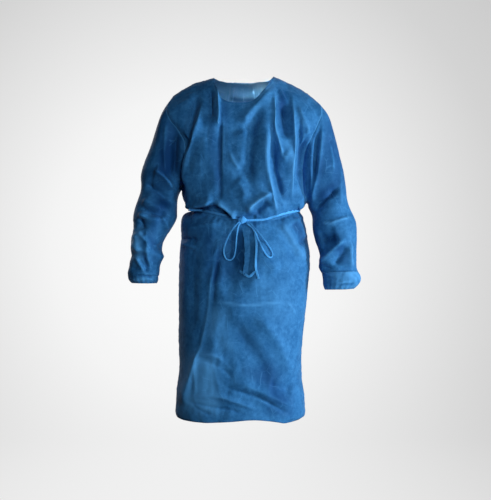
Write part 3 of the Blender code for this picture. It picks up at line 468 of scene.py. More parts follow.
class Value:
    """A shader socket that works with Python's arithmetic signs."""

    def __init__(self, graph: "Graph", socket: bpy.types.NodeSocket) -> None:
        """Keeps the socket and the graph that it is in."""
        self.graph = graph
        self.socket = socket

    def _math(self, operation: str, first: "Value | float", second: "Value | float") -> "Value":
        """A Math node of two values."""
        return self.graph.value("ShaderNodeMath", {"operation": operation}, {0: first, 1: second})

    def __add__(self, other: "Value | float") -> "Value":
        """Sum."""
        return self._math("ADD", self, other)

    def __radd__(self, other: float) -> "Value":
        """Sum with the number first."""
        return self._math("ADD", other, self)

    def __sub__(self, other: "Value | float") -> "Value":
        """Difference."""
        return self._math("SUBTRACT", self, other)

    def __rsub__(self, other: float) -> "Value":
        """Difference with the number first."""
        return self._math("SUBTRACT", other, self)

    def __mul__(self, other: "Value | float") -> "Value":
        """Product."""
        return self._math("MULTIPLY", self, other)

    def __rmul__(self, other: float) -> "Value":
        """Product with the number first."""
        return self._math("MULTIPLY", other, self)

    def clamped(self) -> "Value":
        """The value kept between 0 and 1."""
        return self.graph.value("ShaderNodeClamp", {}, {"Value": self})


class Graph:
    """The node tree of one material."""

    def __init__(self, name: str) -> None:
        """Makes a material with an empty tree.

        Args:
            name: the material's name.
        """
        self.material = bpy.data.materials.new(name)
        self.material.use_nodes = True
        self.tree = self.material.node_tree
        self.tree.nodes.clear()

    def node(self, kind: str, settings: dict, inputs: dict) -> bpy.types.Node:
        """Any node.

        Args:
            kind: the node's type.
            settings: attributes that are set first, and a ramp's stops under "stops".
            inputs: values or links for sockets, by name or number.

        Returns:
            The new node.
        """
        made = self.tree.nodes.new(kind)
        for key, value in settings.items():
            if key == "stops":
                self._ramp(made.color_ramp, value)
            else:
                setattr(made, key, value)
        for key, value in inputs.items():
            if isinstance(value, Value):
                self.tree.links.new(value.socket, made.inputs[key])
            else:
                made.inputs[key].default_value = value
        return made

    def value(self, kind: str, settings: dict, inputs: dict, output: str | int = 0) -> Value:
        """One output of any node."""
        return Value(self, self.node(kind, settings, inputs).outputs[output])

    def _ramp(self, ramp: bpy.types.ColorRamp, stops: Sequence[Point]) -> None:
        """Sets a grey ramp's stops.

        Args:
            ramp: the ramp of a new node.
            stops: a place and a grey for each stop.
        """
        while len(ramp.elements) < len(stops):
            ramp.elements.new(1.0)
        for element, (place, grey) in zip(ramp.elements, stops):
            element.position = place
            element.color = (grey, grey, grey, 1.0)

    def noise(self, place: Value, scale: float, detail: float, roughness: float = 0.5) -> Value:
        """Noise from 0 to 1."""
        return self.value("ShaderNodeTexNoise", {}, {
            "Vector": place, "Scale": scale, "Detail": detail, "Roughness": roughness})

    def ramp(self, value: Value, stops: Sequence[Point]) -> Value:
        """A value put through a grey ramp."""
        return self.value("ShaderNodeValToRGB", {"stops": stops}, {"Fac": value})

    def mapped(self, place: Value, **inputs: Triple) -> Value:
        """Places stretched, turned or moved."""
        return self.value("ShaderNodeMapping", {}, {"Vector": place, **inputs})

    def blend(self, share: Value, first: tuple | Value, second: tuple | Value) -> Value:
        """Two colours mixed by a share.

        Args:
            share: how much of the second colour shows, from 0 to 1.
            first: a colour or a link to one.
            second: the other colour.

        Returns:
            The mixed colour.
        """
        colours = {index: colour if isinstance(colour, Value) else (*colour, 1.0)
                   for index, colour in ((6, first), (7, second))}
        return self.value("ShaderNodeMix", {"data_type": "RGBA"}, {"Factor": share, **colours}, 2)

    def surface(self, shader: bpy.types.Node) -> bpy.types.Material:
        """The material, finished with a shader as its surface."""
        self.node("ShaderNodeOutputMaterial", {}, {"Surface": Value(self, shader.outputs[0])})
        return self.material


@dataclass(frozen=True)
class Nonwoven:
    """Spunbonded cloth: cloudy web, fine fibres, rows of bonding points and broken fold lines,
    with painted light and painted shade read from a vertex attribute.

    Patterns are in cells a metre, and the fibres are so many times longer than wide.
    """

    name: str
    thick: Triple
    thin: Triple
    glow: Triple
    # The next two colours are painted: first the painted highlight of pressed ridges, which the crinkle
    # lines also take, then the painted shade.
    crease: Triple = (0.080, 0.340, 0.740)
    painted_shade_colour: Triple = (0.002, 0.040, 0.155)
    see_through: float = 0.05
    roughness: float = 0.72
    sheen: float = 0.07
    bond_spacing: float = 0.0024
    bump: float = 0.5
    bump_height: float = 0.0006
    cloud_scale: float = 85.0
    speck_scale: float = 520.0
    fibre_scale: float = 1500.0
    cross_fibre_scale: float = 1300.0
    fibre_squash: float = 0.22
    blotch_scale: float = 26.0
    crinkle_scale: float = 15.0
    crinkle_gaps: float = 32.0

    def build(self) -> bpy.types.Material:
        """The finished material."""
        graph = Graph(self.name)
        place = graph.value("ShaderNodeTexCoord", {}, {}, "Object")
        cloud = graph.noise(place, self.cloud_scale, 5.0, 0.62)
        speck = graph.noise(place, self.speck_scale, 3.0, 0.6)
        upright = graph.mapped(place, Scale=(1.0, 1.0, self.fibre_squash))
        fibre = graph.noise(upright, self.fibre_scale, 2.0, 0.7)
        level = graph.mapped(place, Scale=(self.fibre_squash, 1.0, 1.0))
        fibre_across = graph.noise(level, self.cross_fibre_scale, 2.0, 0.7)
        web = (cloud * 0.55 + speck * 0.3 + fibre * 0.1 + fibre_across * 0.05).clamped()
        density = graph.ramp(web, ((0.36, 0.0), (0.64, 1.0)))
        crinkle = self._crinkle(graph, place)
        relief = self._bonds(graph, place) * 0.45 + fibre * 0.35 + fibre_across * 0.3
        relief = relief + speck * 0.7 + crinkle * 0.9
        bumped = graph.value("ShaderNodeBump", {}, {
            "Strength": self.bump, "Distance": self.bump_height, "Height": relief})
        shader = graph.node("ShaderNodeBsdfPrincipled", {}, {
            "Base Color": self._colour(graph, place, density, speck, crinkle),
            "Roughness": (self.roughness + (density - 0.5) * 0.14).clamped(), "Normal": bumped,
            "Sheen Weight": self.sheen, "Sheen Roughness": 0.45,
            "Sheen Tint": (0.45, 0.70, 1.0, 1.0), "Specular IOR Level": 0.2,
            "Specular Tint": (0.5, 0.75, 1.0, 1.0)})
        through = graph.node("ShaderNodeBsdfTranslucent", {}, {"Color": (*self.glow, 1.0)})
        return graph.surface(graph.node("ShaderNodeMixShader", {}, {
            0: self.see_through, 1: Value(graph, shader.outputs[0]),
            2: Value(graph, through.outputs[0])}))

    def _colour(self, graph: Graph, place: Value, density: Value, speck: Value,
                crinkle: Value) -> Value:
        """The cloth's colour, with painted shade and painted highlights read from a vertex attribute,
        and paler crinkle lines.

        Args:
            graph: the material's graph.
            place: places on the piece.
            density: how dense the web is.
            speck: fine noise.
            crinkle: the broken fold lines.

        Returns:
            The colour.
        """
        blotch = graph.ramp(graph.noise(place, self.blotch_scale, 3.0, 0.55),
                            ((0.38, 0.0), (0.62, 1.0)))
        web_and_shade = graph.blend((density * 0.7 + blotch * 0.3).clamped(), self.thin, self.thick)
        # The vertex attribute is painted light: below 0 it blends in the painted shade colour, above 0
        # the painted highlight colour, together with the crinkle lines.
        pale = graph.value("ShaderNodeAttribute", {"attribute_name": "pale"}, {}, "Fac")
        web_and_shade = graph.blend((0.0 - pale).clamped(), web_and_shade, self.painted_shade_colour)
        highlight_and_crinkle = (pale.clamped() * (0.45 + speck * 0.5) + crinkle * 0.22).clamped()
        return graph.blend(highlight_and_crinkle, web_and_shade, self.crease)

    def _bonds(self, graph: Graph, place: Value) -> Value:
        """The pattern of bonding points, 0 on a point and 1 beside it.

        Args:
            graph: the material's graph.
            place: places on the piece.

        Returns:
            The pattern.
        """
        cells = graph.mapped(place, Rotation=(0.0, math.radians(45), 0.0))
        away = graph.value("ShaderNodeTexVoronoi", {"feature": "F1"}, {
            "Vector": cells, "Scale": 1.0 / self.bond_spacing, "Randomness": 0.0}, "Distance")
        return graph.ramp(away, ((0.12, 0.0), (0.34, 1.0)))

    def _crinkle(self, graph: Graph, place: Value) -> Value:
        """Broken fine lines where the cloth was folded and handled.

        Args:
            graph: the material's graph.
            place: places on the piece.

        Returns:
            1 on a line and 0 beside it.
        """
        near = graph.value("ShaderNodeTexVoronoi", {"feature": "DISTANCE_TO_EDGE"},
                           {"Vector": place, "Scale": self.crinkle_scale}, "Distance")
        line = graph.ramp(near, ((0.0, 1.0), (0.022, 0.0)))
        broken = graph.ramp(graph.noise(place, self.crinkle_gaps, 2.0), ((0.46, 0.0), (0.60, 1.0)))
        return line * broken


GOWN_CLOTH = Nonwoven(
    "nonwoven_blue", thick=(0.006, 0.080, 0.240), thin=(0.034, 0.190, 0.460), glow=(0.04, 0.24, 0.58))
# The inner side is a much paler copy of the outer cloth, painted light, so that the shaded inside of
# the neck looks lit.
PAINTED_LIT_INNER_SIDE = Nonwoven(
    "nonwoven_inner_painted_lit", thick=(0.095, 0.345, 0.700), thin=(0.155, 0.440, 0.820), glow=(0.06, 0.26, 0.56),
    crease=(0.34, 0.68, 0.95))
TIE_CLOTH = Nonwoven(
    "nonwoven_tie", thick=(0.045, 0.275, 0.690), thin=(0.080, 0.380, 0.850), glow=(0.07, 0.30, 0.66))


def skin_groups(bm: bmesh.types.BMesh) -> list[set[bmesh.types.BMFace]]:
    """Groups of faces that hang together.

    Args:
        bm: the mesh.

    Returns:
        A set of faces for each group.
    """
    left = set(bm.faces)
    groups = []
    while left:
        todo = [left.pop()]
        group = set(todo)
        while todo:
            face = todo.pop()
            for other in (f for edge in face.edges for f in edge.link_faces if f in left):
                left.discard(other)
                group.add(other)
                todo.append(other)
        groups.append(group)
    return groups


def outer_wall(name: str) -> bmesh.types.BMesh:
    """The outer skin of a packed cloth node, in four sided faces.

    Args:
        name: the node, a closed wall around a hollow.

    Returns:
        A new bmesh that holds only the faces that look out.
    """
    rim_length = 2.1 * MM
    bm = bmesh.new()
    bm.from_mesh(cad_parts[name].data)
    bmesh.ops.remove_doubles(bm, verts=bm.verts, dist=0.01 * MM)
    rim = [f for f in bm.faces if min(e.calc_length() for e in f.edges) < rim_length]
    bmesh.ops.delete(bm, geom=rim, context="FACES")
    skins = skin_groups(bm)
    middle = sum((v.co for v in bm.verts), Vector()) / len(bm.verts)
    if not name.startswith(("sleeve", "cuff")):
        middle = Vector((0.0, 0.0, middle.z))
    outward = [sum(f.calc_area() * f.normal.dot(f.calc_center_median() - middle) for f in skin)
               for skin in skins]
    keep = skins[int(np.argmax(outward))]
    bmesh.ops.delete(bm, geom=[f for f in bm.faces if f not in keep], context="FACES")
    bmesh.ops.join_triangles(bm, faces=bm.faces, angle_face_threshold=math.pi,
                             angle_shape_threshold=math.pi, topology_influence=4.0)
    return bm


def new_object(name: str, bm: bmesh.types.BMesh) -> bpy.types.Object:
    """An object of a bmesh, smooth shaded and linked to the scene.

    Args:
        name: the object's name.
        bm: its shape, which is freed.

    Returns:
        The object.
    """
    mesh = bpy.data.meshes.new(name)
    bm.to_mesh(mesh)
    bm.free()
    mesh.shade_smooth()
    thing = bpy.data.objects.new(name, mesh)
    bpy.context.scene.collection.objects.link(thing)
    return thing


def modify(thing: bpy.types.Object, kind: str, **settings: float | bool) -> None:
    """Adds a modifier and makes the modified shape the object's own mesh.

    Args:
        thing: the object.
        kind: the modifier's type.
        settings: its attributes.
    """
    modifier = thing.modifiers.new(kind.lower(), kind)
    for key, value in settings.items():
        setattr(modifier, key, value)
    graph = bpy.context.evaluated_depsgraph_get()
    made = bpy.data.meshes.new_from_object(thing.evaluated_get(graph))
    old = thing.data
    thing.modifiers.clear()
    thing.data = made
    made.name = thing.name
    bpy.data.meshes.remove(old)


def subdivide(thing: bpy.types.Object, levels: int) -> None:
    """Smooth subdivision."""
    modify(thing, "SUBSURF", levels=levels, render_levels=levels, use_limit_surface=False)


def thicken(thing: bpy.types.Object, thickness: float) -> None:
    """Gives a sheet its thickness, inwards, with its second finish on the inner side."""
    modify(thing, "SOLIDIFY", thickness=thickness, offset=-1.0, use_rim=True, material_offset=1)


def read_array(items: bpy.types.bpy_prop_collection, name: str, size: int = 1,
               kind: type = np.int32) -> np.ndarray:
    """One value of every item of a mesh.

    Args:
        items: vertices, edges, faces or corners.
        name: the value's name.
        size: how many numbers each item has.
        kind: the numbers' type.

    Returns:
        The numbers, one after another.
    """
    numbers = np.empty(len(items) * size, kind)
    items.foreach_get(name, numbers)
    return numbers


def vertex_arrays(mesh: bpy.types.Mesh) -> tuple[np.ndarray, np.ndarray]:
    """Places and normals of a mesh's vertices, one row each."""
    rows = (read_array(mesh.vertices, "co", 3, np.float32),
            read_array(mesh.vertex_normals, "vector", 3, np.float32))
    return rows[0].reshape(-1, 3).astype(float), rows[1].reshape(-1, 3).astype(float)


def set_places(mesh: bpy.types.Mesh, places: np.ndarray) -> None:
    """Moves a mesh's vertices."""
    mesh.vertices.foreach_set("co", places.astype(np.float32).ravel())
    mesh.update()


def set_tone(mesh: bpy.types.Mesh, painted_light: np.ndarray) -> None:
    """Keeps each vertex's painted light, from -1, painted shade, to 1, painted highlight, for the
    finish to read.
    """
    pale = mesh.attributes.new("pale", "FLOAT", "POINT")
    pale.data.foreach_set("value", np.clip(painted_light, -1, 1).astype(np.float32))


def dress(piece: bpy.types.Object, node: str | None, finishes: Sequence[str],
          thickness: float = 0.0) -> None:
    """Gives a piece its finishes and its place in the frame.

    Args:
        piece: the piece.
        node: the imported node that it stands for, or None where another piece stands for it.
        finishes: names of its materials, the outer side's first.
        thickness: metres of cloth that a bare skin still needs.
    """
    for finish in finishes:
        piece.data.materials.append(MATERIALS[finish])
    if thickness:
        thicken(piece, thickness)
    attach(piece, BODY)
    if node:
        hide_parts(node)


@dataclass(frozen=True)
class Crumple:
    """Uneven shallow facets of handled cloth: scales in cells a metre, rises in millimetres."""

    torso_flow: float = 0.5
    sleeve_flow: float = 0.45
    warp_scale: float = 7.0
    warp: float = 0.035
    swell_scale: float = 9.0
    swell_rise: float = 3.0
    sleeve_swell: float = -1.6
    facet_scale: float = 13.0
    facet_rise: float = 4.5
    facet_level: float = 0.5
    small_scale: float = 30.0
    small_rise: float = 1.7
    small_level: float = 0.3
    small_offset: Triple = (9.4, 2.2, 1.3)
    fine_scale: float = 85.0
    fine_rise: float = 0.7
    sleeve_share: float = 0.35
    calm_scale: float = 4.0
    calm_offset: Triple = (1.0, 8.0, 3.0)
    calm_middle: float = 0.8
    calm_change: float = 1.3
    calm_sleeve: float = 0.1
    calm_range: Point = (0.35, 1.4)

    def height(self, place: np.ndarray, sleeve: float) -> float:
        """How far one place is lifted.

        Args:
            place: the place in metres.
            sleeve: how much it lies on a sleeve, from 0 to 1.

        Returns:
            The lift in millimetres.
        """
        stretch = self.torso_flow + self.sleeve_flow * sleeve
        flow = Vector((place[0], place[1], place[2] * stretch))
        spot = flow + noise.noise_vector(flow * self.warp_scale) * self.warp
        swell = noise.noise(spot * self.swell_scale)
        facet = self.facet_level - self._cell_edge(spot * self.facet_scale)
        small = self._cell_edge(spot * self.small_scale + Vector(self.small_offset)) - self.small_level
        fine = noise.noise(spot * self.fine_scale)
        uneven = self.facet_rise * facet + self.small_rise * small + self.fine_rise * fine
        calm = noise.noise(flow * self.calm_scale + Vector(self.calm_offset))
        calm = self.calm_middle + self.calm_change * calm + self.calm_sleeve * sleeve
        calm = min(max(calm, self.calm_range[0]), self.calm_range[1])
        return ((self.swell_rise + self.sleeve_swell * sleeve) * swell
                + (1 - self.sleeve_share * sleeve) * uneven * calm)

    def _cell_edge(self, spot: Vector) -> float:
        """How far a spot lies from the straight edges of random cells."""
        near = noise.voronoi(spot)[0]
        return near[1] - near[0]


@dataclass
class ClothShell:
    """The torso's panels and the sleeves as one seamless skin, creased and then parted again."""

    panels: tuple[str, ...] = ("front", "back_left", "back_right", "sleeve_left", "sleeve_right")
    flats: dict[str, Triple] = field(default_factory=lambda: {
        "front": (0.66, 1.17, 0.655),
        "back_left": (0.42, 1.15, 0.41), "back_right": (0.42, 1.15, 0.41),
        "sleeve_left": (0.42, 0.60, 0.20), "sleeve_right": (0.42, 0.62, 0.205)})
    weld: float = 0.6 * MM
    long_edge: float = 13.5 * MM
    thickness: float = 0.7 * MM
    crumple: Crumple = Crumple()
    torso_depth: float = 1.9
    sleeve_depth: float = 2.0
    back_share: float = 0.6
    waist_level: float = -0.440
    waist_dip: float = 0.034
    waist_centre_x: float = 0.005
    waist_half: float = 176.0
    waist_reach: float = 55.0
    waist_calm: float = 9.0
    waist_hold: Point = (0.85, 0.7)
    gather_count: int = 46
    gather_rise: float = 2.2 * MM
    gather_reach: float = 26.0
    gather_start: float = 9.0
    gather_strength: Point = (0.75, 1.2)
    gather_range: Point = (0.1, 1.6)
    wander: float = 7.0
    wander_scale: float = 2.2
    wander_height: float = 90.0
    strength_scale: float = 5.0
    pucker_rise: float = 1.6 * MM
    pucker_length: float = 13 * MM
    pucker_reach: float = 24 * MM
    seam_rise: float = 1.1 * MM
    seam_width: float = 2.6 * MM
    # Painted highlight along each seam's raised line.
    seam_tone: float = 0.8
    turning: float = 8 * MM
    turning_rise: float = 0.5 * MM
    stitch_width: float = 1.6 * MM
    stitch_depth: float = 0.6 * MM
    # How much paler the cloth is along the stitch line.
    stitch_tone: float = 0.35
    turned_side: float = 0.2
    cuff_level: float = -0.648
    cuff_calm: float = 20 * MM
    cuff_hang: tuple[Point, Point] = ((0.285, 0.335), (1.0, 0.3))
    hang_start: float = 26 * MM
    hang_reach: float = 30 * MM
    hang_scale: float = 34.0
    hang_out: Point = (2.6 * MM, 2.0 * MM)
    hang_down: Point = (4.0 * MM, 5.0 * MM)
    hem_corner: float = -1.105
    hem_radius: float = 0.024
    hem_tuck: float = 0.55
    hem_side: Point = (105, 60)
    torso_aside: tuple[Point, ...] = (
        (-0.95, 0), (-0.75, -1.5), (-0.68, -4), (-0.5, -4), (-0.44, 0))
    elbow_aside: tuple[Point, ...] = ((-0.63, 0), (-0.60, -4), (-0.50, -4), (-0.46, 0))
    elbow_inner: Point = (-0.34, -0.29)

    def build(self) -> dict[str, bpy.types.Object]:
        """All panels, by the node that each one replaces."""
        shell = self._join()
        subdivide(shell, 1)
        self._split_long_edges(shell)
        subdivide(shell, 1)
        self._lift_waist(shell)
        self._crease(shell)
        pieces = self._part(shell)
        for name, piece in pieces.items():
            dress(piece, name, ("cloth", "inner"), self.thickness)
            LOG.info("%s: %d faces", piece.name, len(piece.data.polygons))
        return pieces

    def _join(self) -> bpy.types.Object:
        """One welded skin, with the panel's number as each face's material index."""
        joined = bmesh.new()
        for index, name in enumerate(self.panels):
            wall = outer_wall(name)
            for face in wall.faces:
                face.material_index = index
            mesh = bpy.data.meshes.new(name)
            wall.to_mesh(mesh)
            wall.free()
            joined.from_mesh(mesh)
            bpy.data.meshes.remove(mesh)
        bmesh.ops.remove_doubles(joined, verts=joined.verts, dist=self.weld)
        shell = new_object("shell", joined)
        for name in self.panels:
            shell.data.materials.append(bpy.data.materials.new("panel_" + name))
        return shell

    def _split_long_edges(self, shell: bpy.types.Object) -> None:
        """Cuts long edges in two, so that all faces are about as long as wide.

        Args:
            shell: the welded skin.
        """
        bm = bmesh.new()
        bm.from_mesh(shell.data)
        edges = [e for e in bm.edges if e.calc_length() > self.long_edge]
        bmesh.ops.subdivide_edges(bm, edges=edges, cuts=1, use_grid_fill=True)
        bm.to_mesh(shell.data)
        bm.free()
        shell.data.shade_smooth()

    def _sleeve_shares(self, mesh: bpy.types.Mesh) -> dict[str, np.ndarray]:
        """How much each vertex belongs to a sleeve, softened across the armhole.

        Args:
            mesh: the welded skin's mesh.

        Returns:
            Shares from 0 to 1 for the left and the right sleeve.
        """
        count = len(mesh.vertices)
        edges = read_array(mesh.edges, "vertices", 2).reshape(-1, 2)
        valence = np.bincount(edges.ravel(), minlength=count)
        indices = read_array(mesh.polygons, "material_index")
        totals = read_array(mesh.polygons, "loop_total")
        corners = read_array(mesh.loops, "vertex_index")
        faces_at = np.bincount(corners, minlength=count)
        shares = {}
        for side in ("left", "right"):
            is_sleeve = (indices == self.panels.index("sleeve_" + side)).astype(float)
            share = np.bincount(corners, weights=np.repeat(is_sleeve, totals), minlength=count)
            share = share / np.maximum(faces_at, 1)
            for _ in range(3):
                summed = np.bincount(edges[:, 0], weights=share[edges[:, 1]], minlength=count)
                summed += np.bincount(edges[:, 1], weights=share[edges[:, 0]], minlength=count)
                share = (share + summed) / (1 + valence)
            shares[side] = share
        return shares

    def _seams(self, mesh: bpy.types.Mesh, places: np.ndarray) -> tuple[np.ndarray, np.ndarray]:
        """The raised line and the puckers of sewn seams, and the stitches of turned edges.

        Args:
            mesh: the welded skin's mesh.
            places: its vertices.

        Returns:
            Each vertex's lift in metres and its painted light: a painted highlight along
            seams and paler stitch lines.
        """
        panels_at: dict[int, set[int]] = {}
        faces_at: dict[tuple[int, int], int] = {}
        for polygon in mesh.polygons:
            for vertex in polygon.vertices:
                panels_at.setdefault(vertex, set()).add(polygon.material_index)
            for key in polygon.edge_keys:
                faces_at[key] = faces_at.get(key, 0) + 1
        seams = self._tree(places, {v for v, panels in panels_at.items() if len(panels) > 1})
        rim = {v for key, count in faces_at.items() if count == 1 for v in key}
        turned = self._tree(places, {v for v in rim if places[v][2] > self.hem_corner
                                     and abs(places[v][0]) < self.turned_side})
        height = np.zeros(len(places))
        painted_light = np.zeros(len(places))
        for i, place in enumerate(places):
            nearest, _, away = seams.find(place)
            if away < self.pucker_reach:
                fade = (1 - away / self.pucker_reach) ** 2
                core = math.exp(-(away / self.seam_width) ** 2)
                wave = noise.noise(nearest / self.pucker_length)
                height[i] += fade * wave * self.pucker_rise + self.seam_rise * core
                # The seam's raised line gets a painted highlight.
                painted_light[i] += self.seam_tone * core
            _, _, inside = turned.find(place)
            if inside < 3 * self.turning:
                stitch = math.exp(-((inside - self.turning) / self.stitch_width) ** 2)
                rise = self.turning_rise if inside < self.turning else 0.0
                height[i] += rise - self.stitch_depth * stitch
                painted_light[i] += self.stitch_tone * stitch
        return height, painted_light

    def _tree(self, places: np.ndarray, chosen: set[int]) -> kdtree.KDTree:
        """A search tree of some of the places.

        Args:
            places: all places.
            chosen: the numbers of those that are taken in.

        Returns:
            The tree.
        """
        tree = kdtree.KDTree(len(chosen))
        for vertex in sorted(chosen):
            tree.insert(places[vertex], vertex)
        tree.balance()
        return tree

    def _waist_line(self, x: np.ndarray, forward: np.ndarray) -> np.ndarray:
        """Level of the waist tie at places x millimetres from the middle, in millimetres."""
        front = np.interp(x, *zip(*WAIST_LINE))
        return front * forward + self.waist_level / MM * (1 - forward)

    def _lift_waist(self, shell: bpy.types.Object) -> None:
        """Moves the nipped waist up or down to the line that the tie takes.

        Args:
            shell: the welded skin.
        """
        places, normals = vertex_arrays(shell.data)
        shares = self._sleeve_shares(shell.data)
        x, z = places[:, 0] / MM, places[:, 2] / MM
        forward = facing(normals, -1) * (1 - shares["left"] - shares["right"])
        dip = self.waist_dip / MM * oval((x - self.waist_centre_x / MM) / self.waist_half)
        nipped = self.waist_level / MM - dip
        change = self._waist_line(x, np.ones(len(x))) - nipped
        near = np.exp(-((z - nipped) / self.waist_reach) ** 2)
        places[:, 2] += change * near * forward * MM
        set_places(shell.data, places)

    def _gathers(self, places: np.ndarray, forward: np.ndarray, torso: np.ndarray) -> np.ndarray:
        """Folds that the waist tie pulls into the cloth above and below it.

        Args:
            places: the skin's vertices.
            forward: how much each one faces the front.
            torso: how much each one lies on the torso.

        Returns:
            Lifts in metres.
        """
        x, y, z = places.T
        above = z / MM - self._waist_line(x / MM, forward)
        angle = np.arctan2(y, x - self.waist_centre_x)
        ring = [Vector((math.cos(a), math.sin(a), 0)) for a in angle]
        wander = np.array([noise.noise(way * self.wander_scale + Vector((0, 0, h / self.wander_height)))
                           for way, h in zip(ring, above)])
        uneven = np.array([noise.noise(way * self.strength_scale + Vector((7, 0, 3))) for way in ring])
        wave = np.cos(angle * self.gather_count + wander * self.wander)
        near = np.exp(-np.abs(above) / self.gather_reach)
        near *= smooth_step(np.abs(above) / self.gather_start)
        middle, change = self.gather_strength
        strength = np.clip(middle + change * uneven, *self.gather_range)
        return torso * self.gather_rise * near * wave * strength

    def _placed(self, places: np.ndarray, normals: np.ndarray,
                shares: dict[str, np.ndarray]) -> np.ndarray:
        """All creases that are listed.

        Args:
            places: the skin's vertices.
            normals: their normals.
            shares: how much each one belongs to each sleeve.

        Returns:
            A row of lifts in millimetres and a row of painted light and shade.
        """
        x, z = places[:, 0] / MM, places[:, 2] / MM
        torso = 1 - np.clip(shares["left"] + shares["right"], 0, 1)
        relief = np.zeros((2, len(places)))
        for zone, creases in CREASES.items():
            mask = facing(normals, 1 if zone.is_back else -1)
            depth = self.torso_depth
            if zone.is_sleeve:
                mask = mask * shares["right" if zone.name.startswith("RIGHT") else "left"]
                depth = self.sleeve_depth * (self.back_share if zone.is_back else 1)
            else:
                mask = mask * torso
            for crease in creases:
                lift, painted_light = crease.relief(x, z) * mask
                relief += np.array([lift * depth, painted_light])
        return relief

    def _crease(self, shell: bpy.types.Object) -> None:
        """Lays all creases into the welded skin.

        Args:
            shell: the welded skin.
        """
        mesh = shell.data
        places, normals = vertex_arrays(mesh)
        shares = self._sleeve_shares(mesh)
        sleeve = np.clip(shares["left"] + shares["right"], 0, 1)
        forward = facing(normals, -1)
        from_tie = places[:, 2] / MM - self._waist_line(places[:, 0] / MM, forward)
        waist = np.exp(-(from_tie / self.waist_calm) ** 2) * (1 - sleeve)
        lift, painted_light = self._placed(places, normals, shares)
        crumple = np.array([self.crumple.height(*pair) for pair in zip(places, sleeve)])
        crease_hold, crumple_hold = self.waist_hold
        height = lift * MM * (1 - crease_hold * waist) + crumple * MM * (1 - crumple_hold * waist)
        seam_height, seam_tone = self._seams(mesh, places)
        height += seam_height + self._gathers(places, forward, 1 - sleeve)
        height *= self._sleeve_ends(places)
        # The creases' painted light and shade and the seams' painted highlights go into the cloth's
        # colour.
        set_tone(mesh, painted_light + seam_tone)
        places = places + normals * height[:, None]
        places[:, 0] += self._aside(places, sleeve, shares["right"])
        set_places(mesh, self._round_hem(self._blouse(places, normals)))

    def _aside(self, places: np.ndarray, sleeve: np.ndarray, right: np.ndarray) -> np.ndarray:
        """How far the cloth hangs to one side, on the torso and on the right sleeve's inner edge.

        Args:
            places: the skin's vertices.
            sleeve: how much each one lies on a sleeve.
            right: how much each one lies on the right sleeve.

        Returns:
            Moves along x in metres.
        """
        torso = np.interp(places[:, 2], *zip(*self.torso_aside)) * (1 - sleeve)
        elbow = np.interp(places[:, 2], *zip(*self.elbow_aside)) * right
        inner = np.interp(places[:, 0] + torso * MM, self.elbow_inner, (0, 1))
        return (torso + elbow * inner) * MM

    def _sleeve_ends(self, places: np.ndarray) -> np.ndarray:
        """0 where a sleeve meets its cuff and 1 away from there."""
        above = smooth_step((places[:, 2] - self.cuff_level) / self.cuff_calm)
        return np.where(np.abs(places[:, 0]) > SLEEVE_SIDE, above, 1.0)

    def _blouse(self, places: np.ndarray, normals: np.ndarray) -> np.ndarray:
        """Lets the sleeves' ends hang unevenly over their cuffs.

        Args:
            places: the skin's vertices.
            normals: their normals.

        Returns:
            The moved vertices.
        """
        near = smooth_step((self.cuff_level + self.hang_start - places[:, 2]) / self.hang_reach)
        near = np.where(np.abs(places[:, 0]) > SLEEVE_SIDE, near, 0.0)
        near *= np.interp(places[:, 0], *self.cuff_hang)
        uneven = np.array([noise.noise(Vector(place) * self.hang_scale) for place in places])
        places = places + normals * (near * (self.hang_out[0] + self.hang_out[1] * uneven))[:, None]
        places[:, 2] -= near ** 2 * (self.hang_down[0] + self.hang_down[1] * uneven)
        return places

    def _round_hem(self, places: np.ndarray) -> np.ndarray:
        """Turns the lower corners in, where the sides meet the hem.

        Args:
            places: the skin's vertices.

        Returns:
            The same array, moved.
        """
        start, reach = self.hem_side
        over = np.clip((self.hem_corner - places[:, 2]) / self.hem_radius, 0, 1)
        side = smooth_step((np.abs(places[:, 0]) / MM - start) / reach)
        tuck = self.hem_radius * self.hem_tuck * (1 - np.sqrt(np.maximum(0, 1 - over ** 2))) * side
        places[:, 0] -= np.sign(places[:, 0]) * tuck
        return places

    def _part(self, shell: bpy.types.Object) -> dict[str, bpy.types.Object]:
        """Cuts the skin into its panels along the seams.

        Args:
            shell: the welded skin, which is removed.

        Returns:
            The panels, by name.
        """
        pieces = {}
        for index, name in enumerate(self.panels):
            bm = bmesh.new()
            bm.from_mesh(shell.data)
            others = [f for f in bm.faces if f.material_index != index]
            bmesh.ops.delete(bm, geom=others, context="FACES")
            for face in bm.faces:
                face.material_index = 0
            pieces[name] = new_object(name + "_cloth", bm)
        bpy.data.objects.remove(shell)
        return pieces


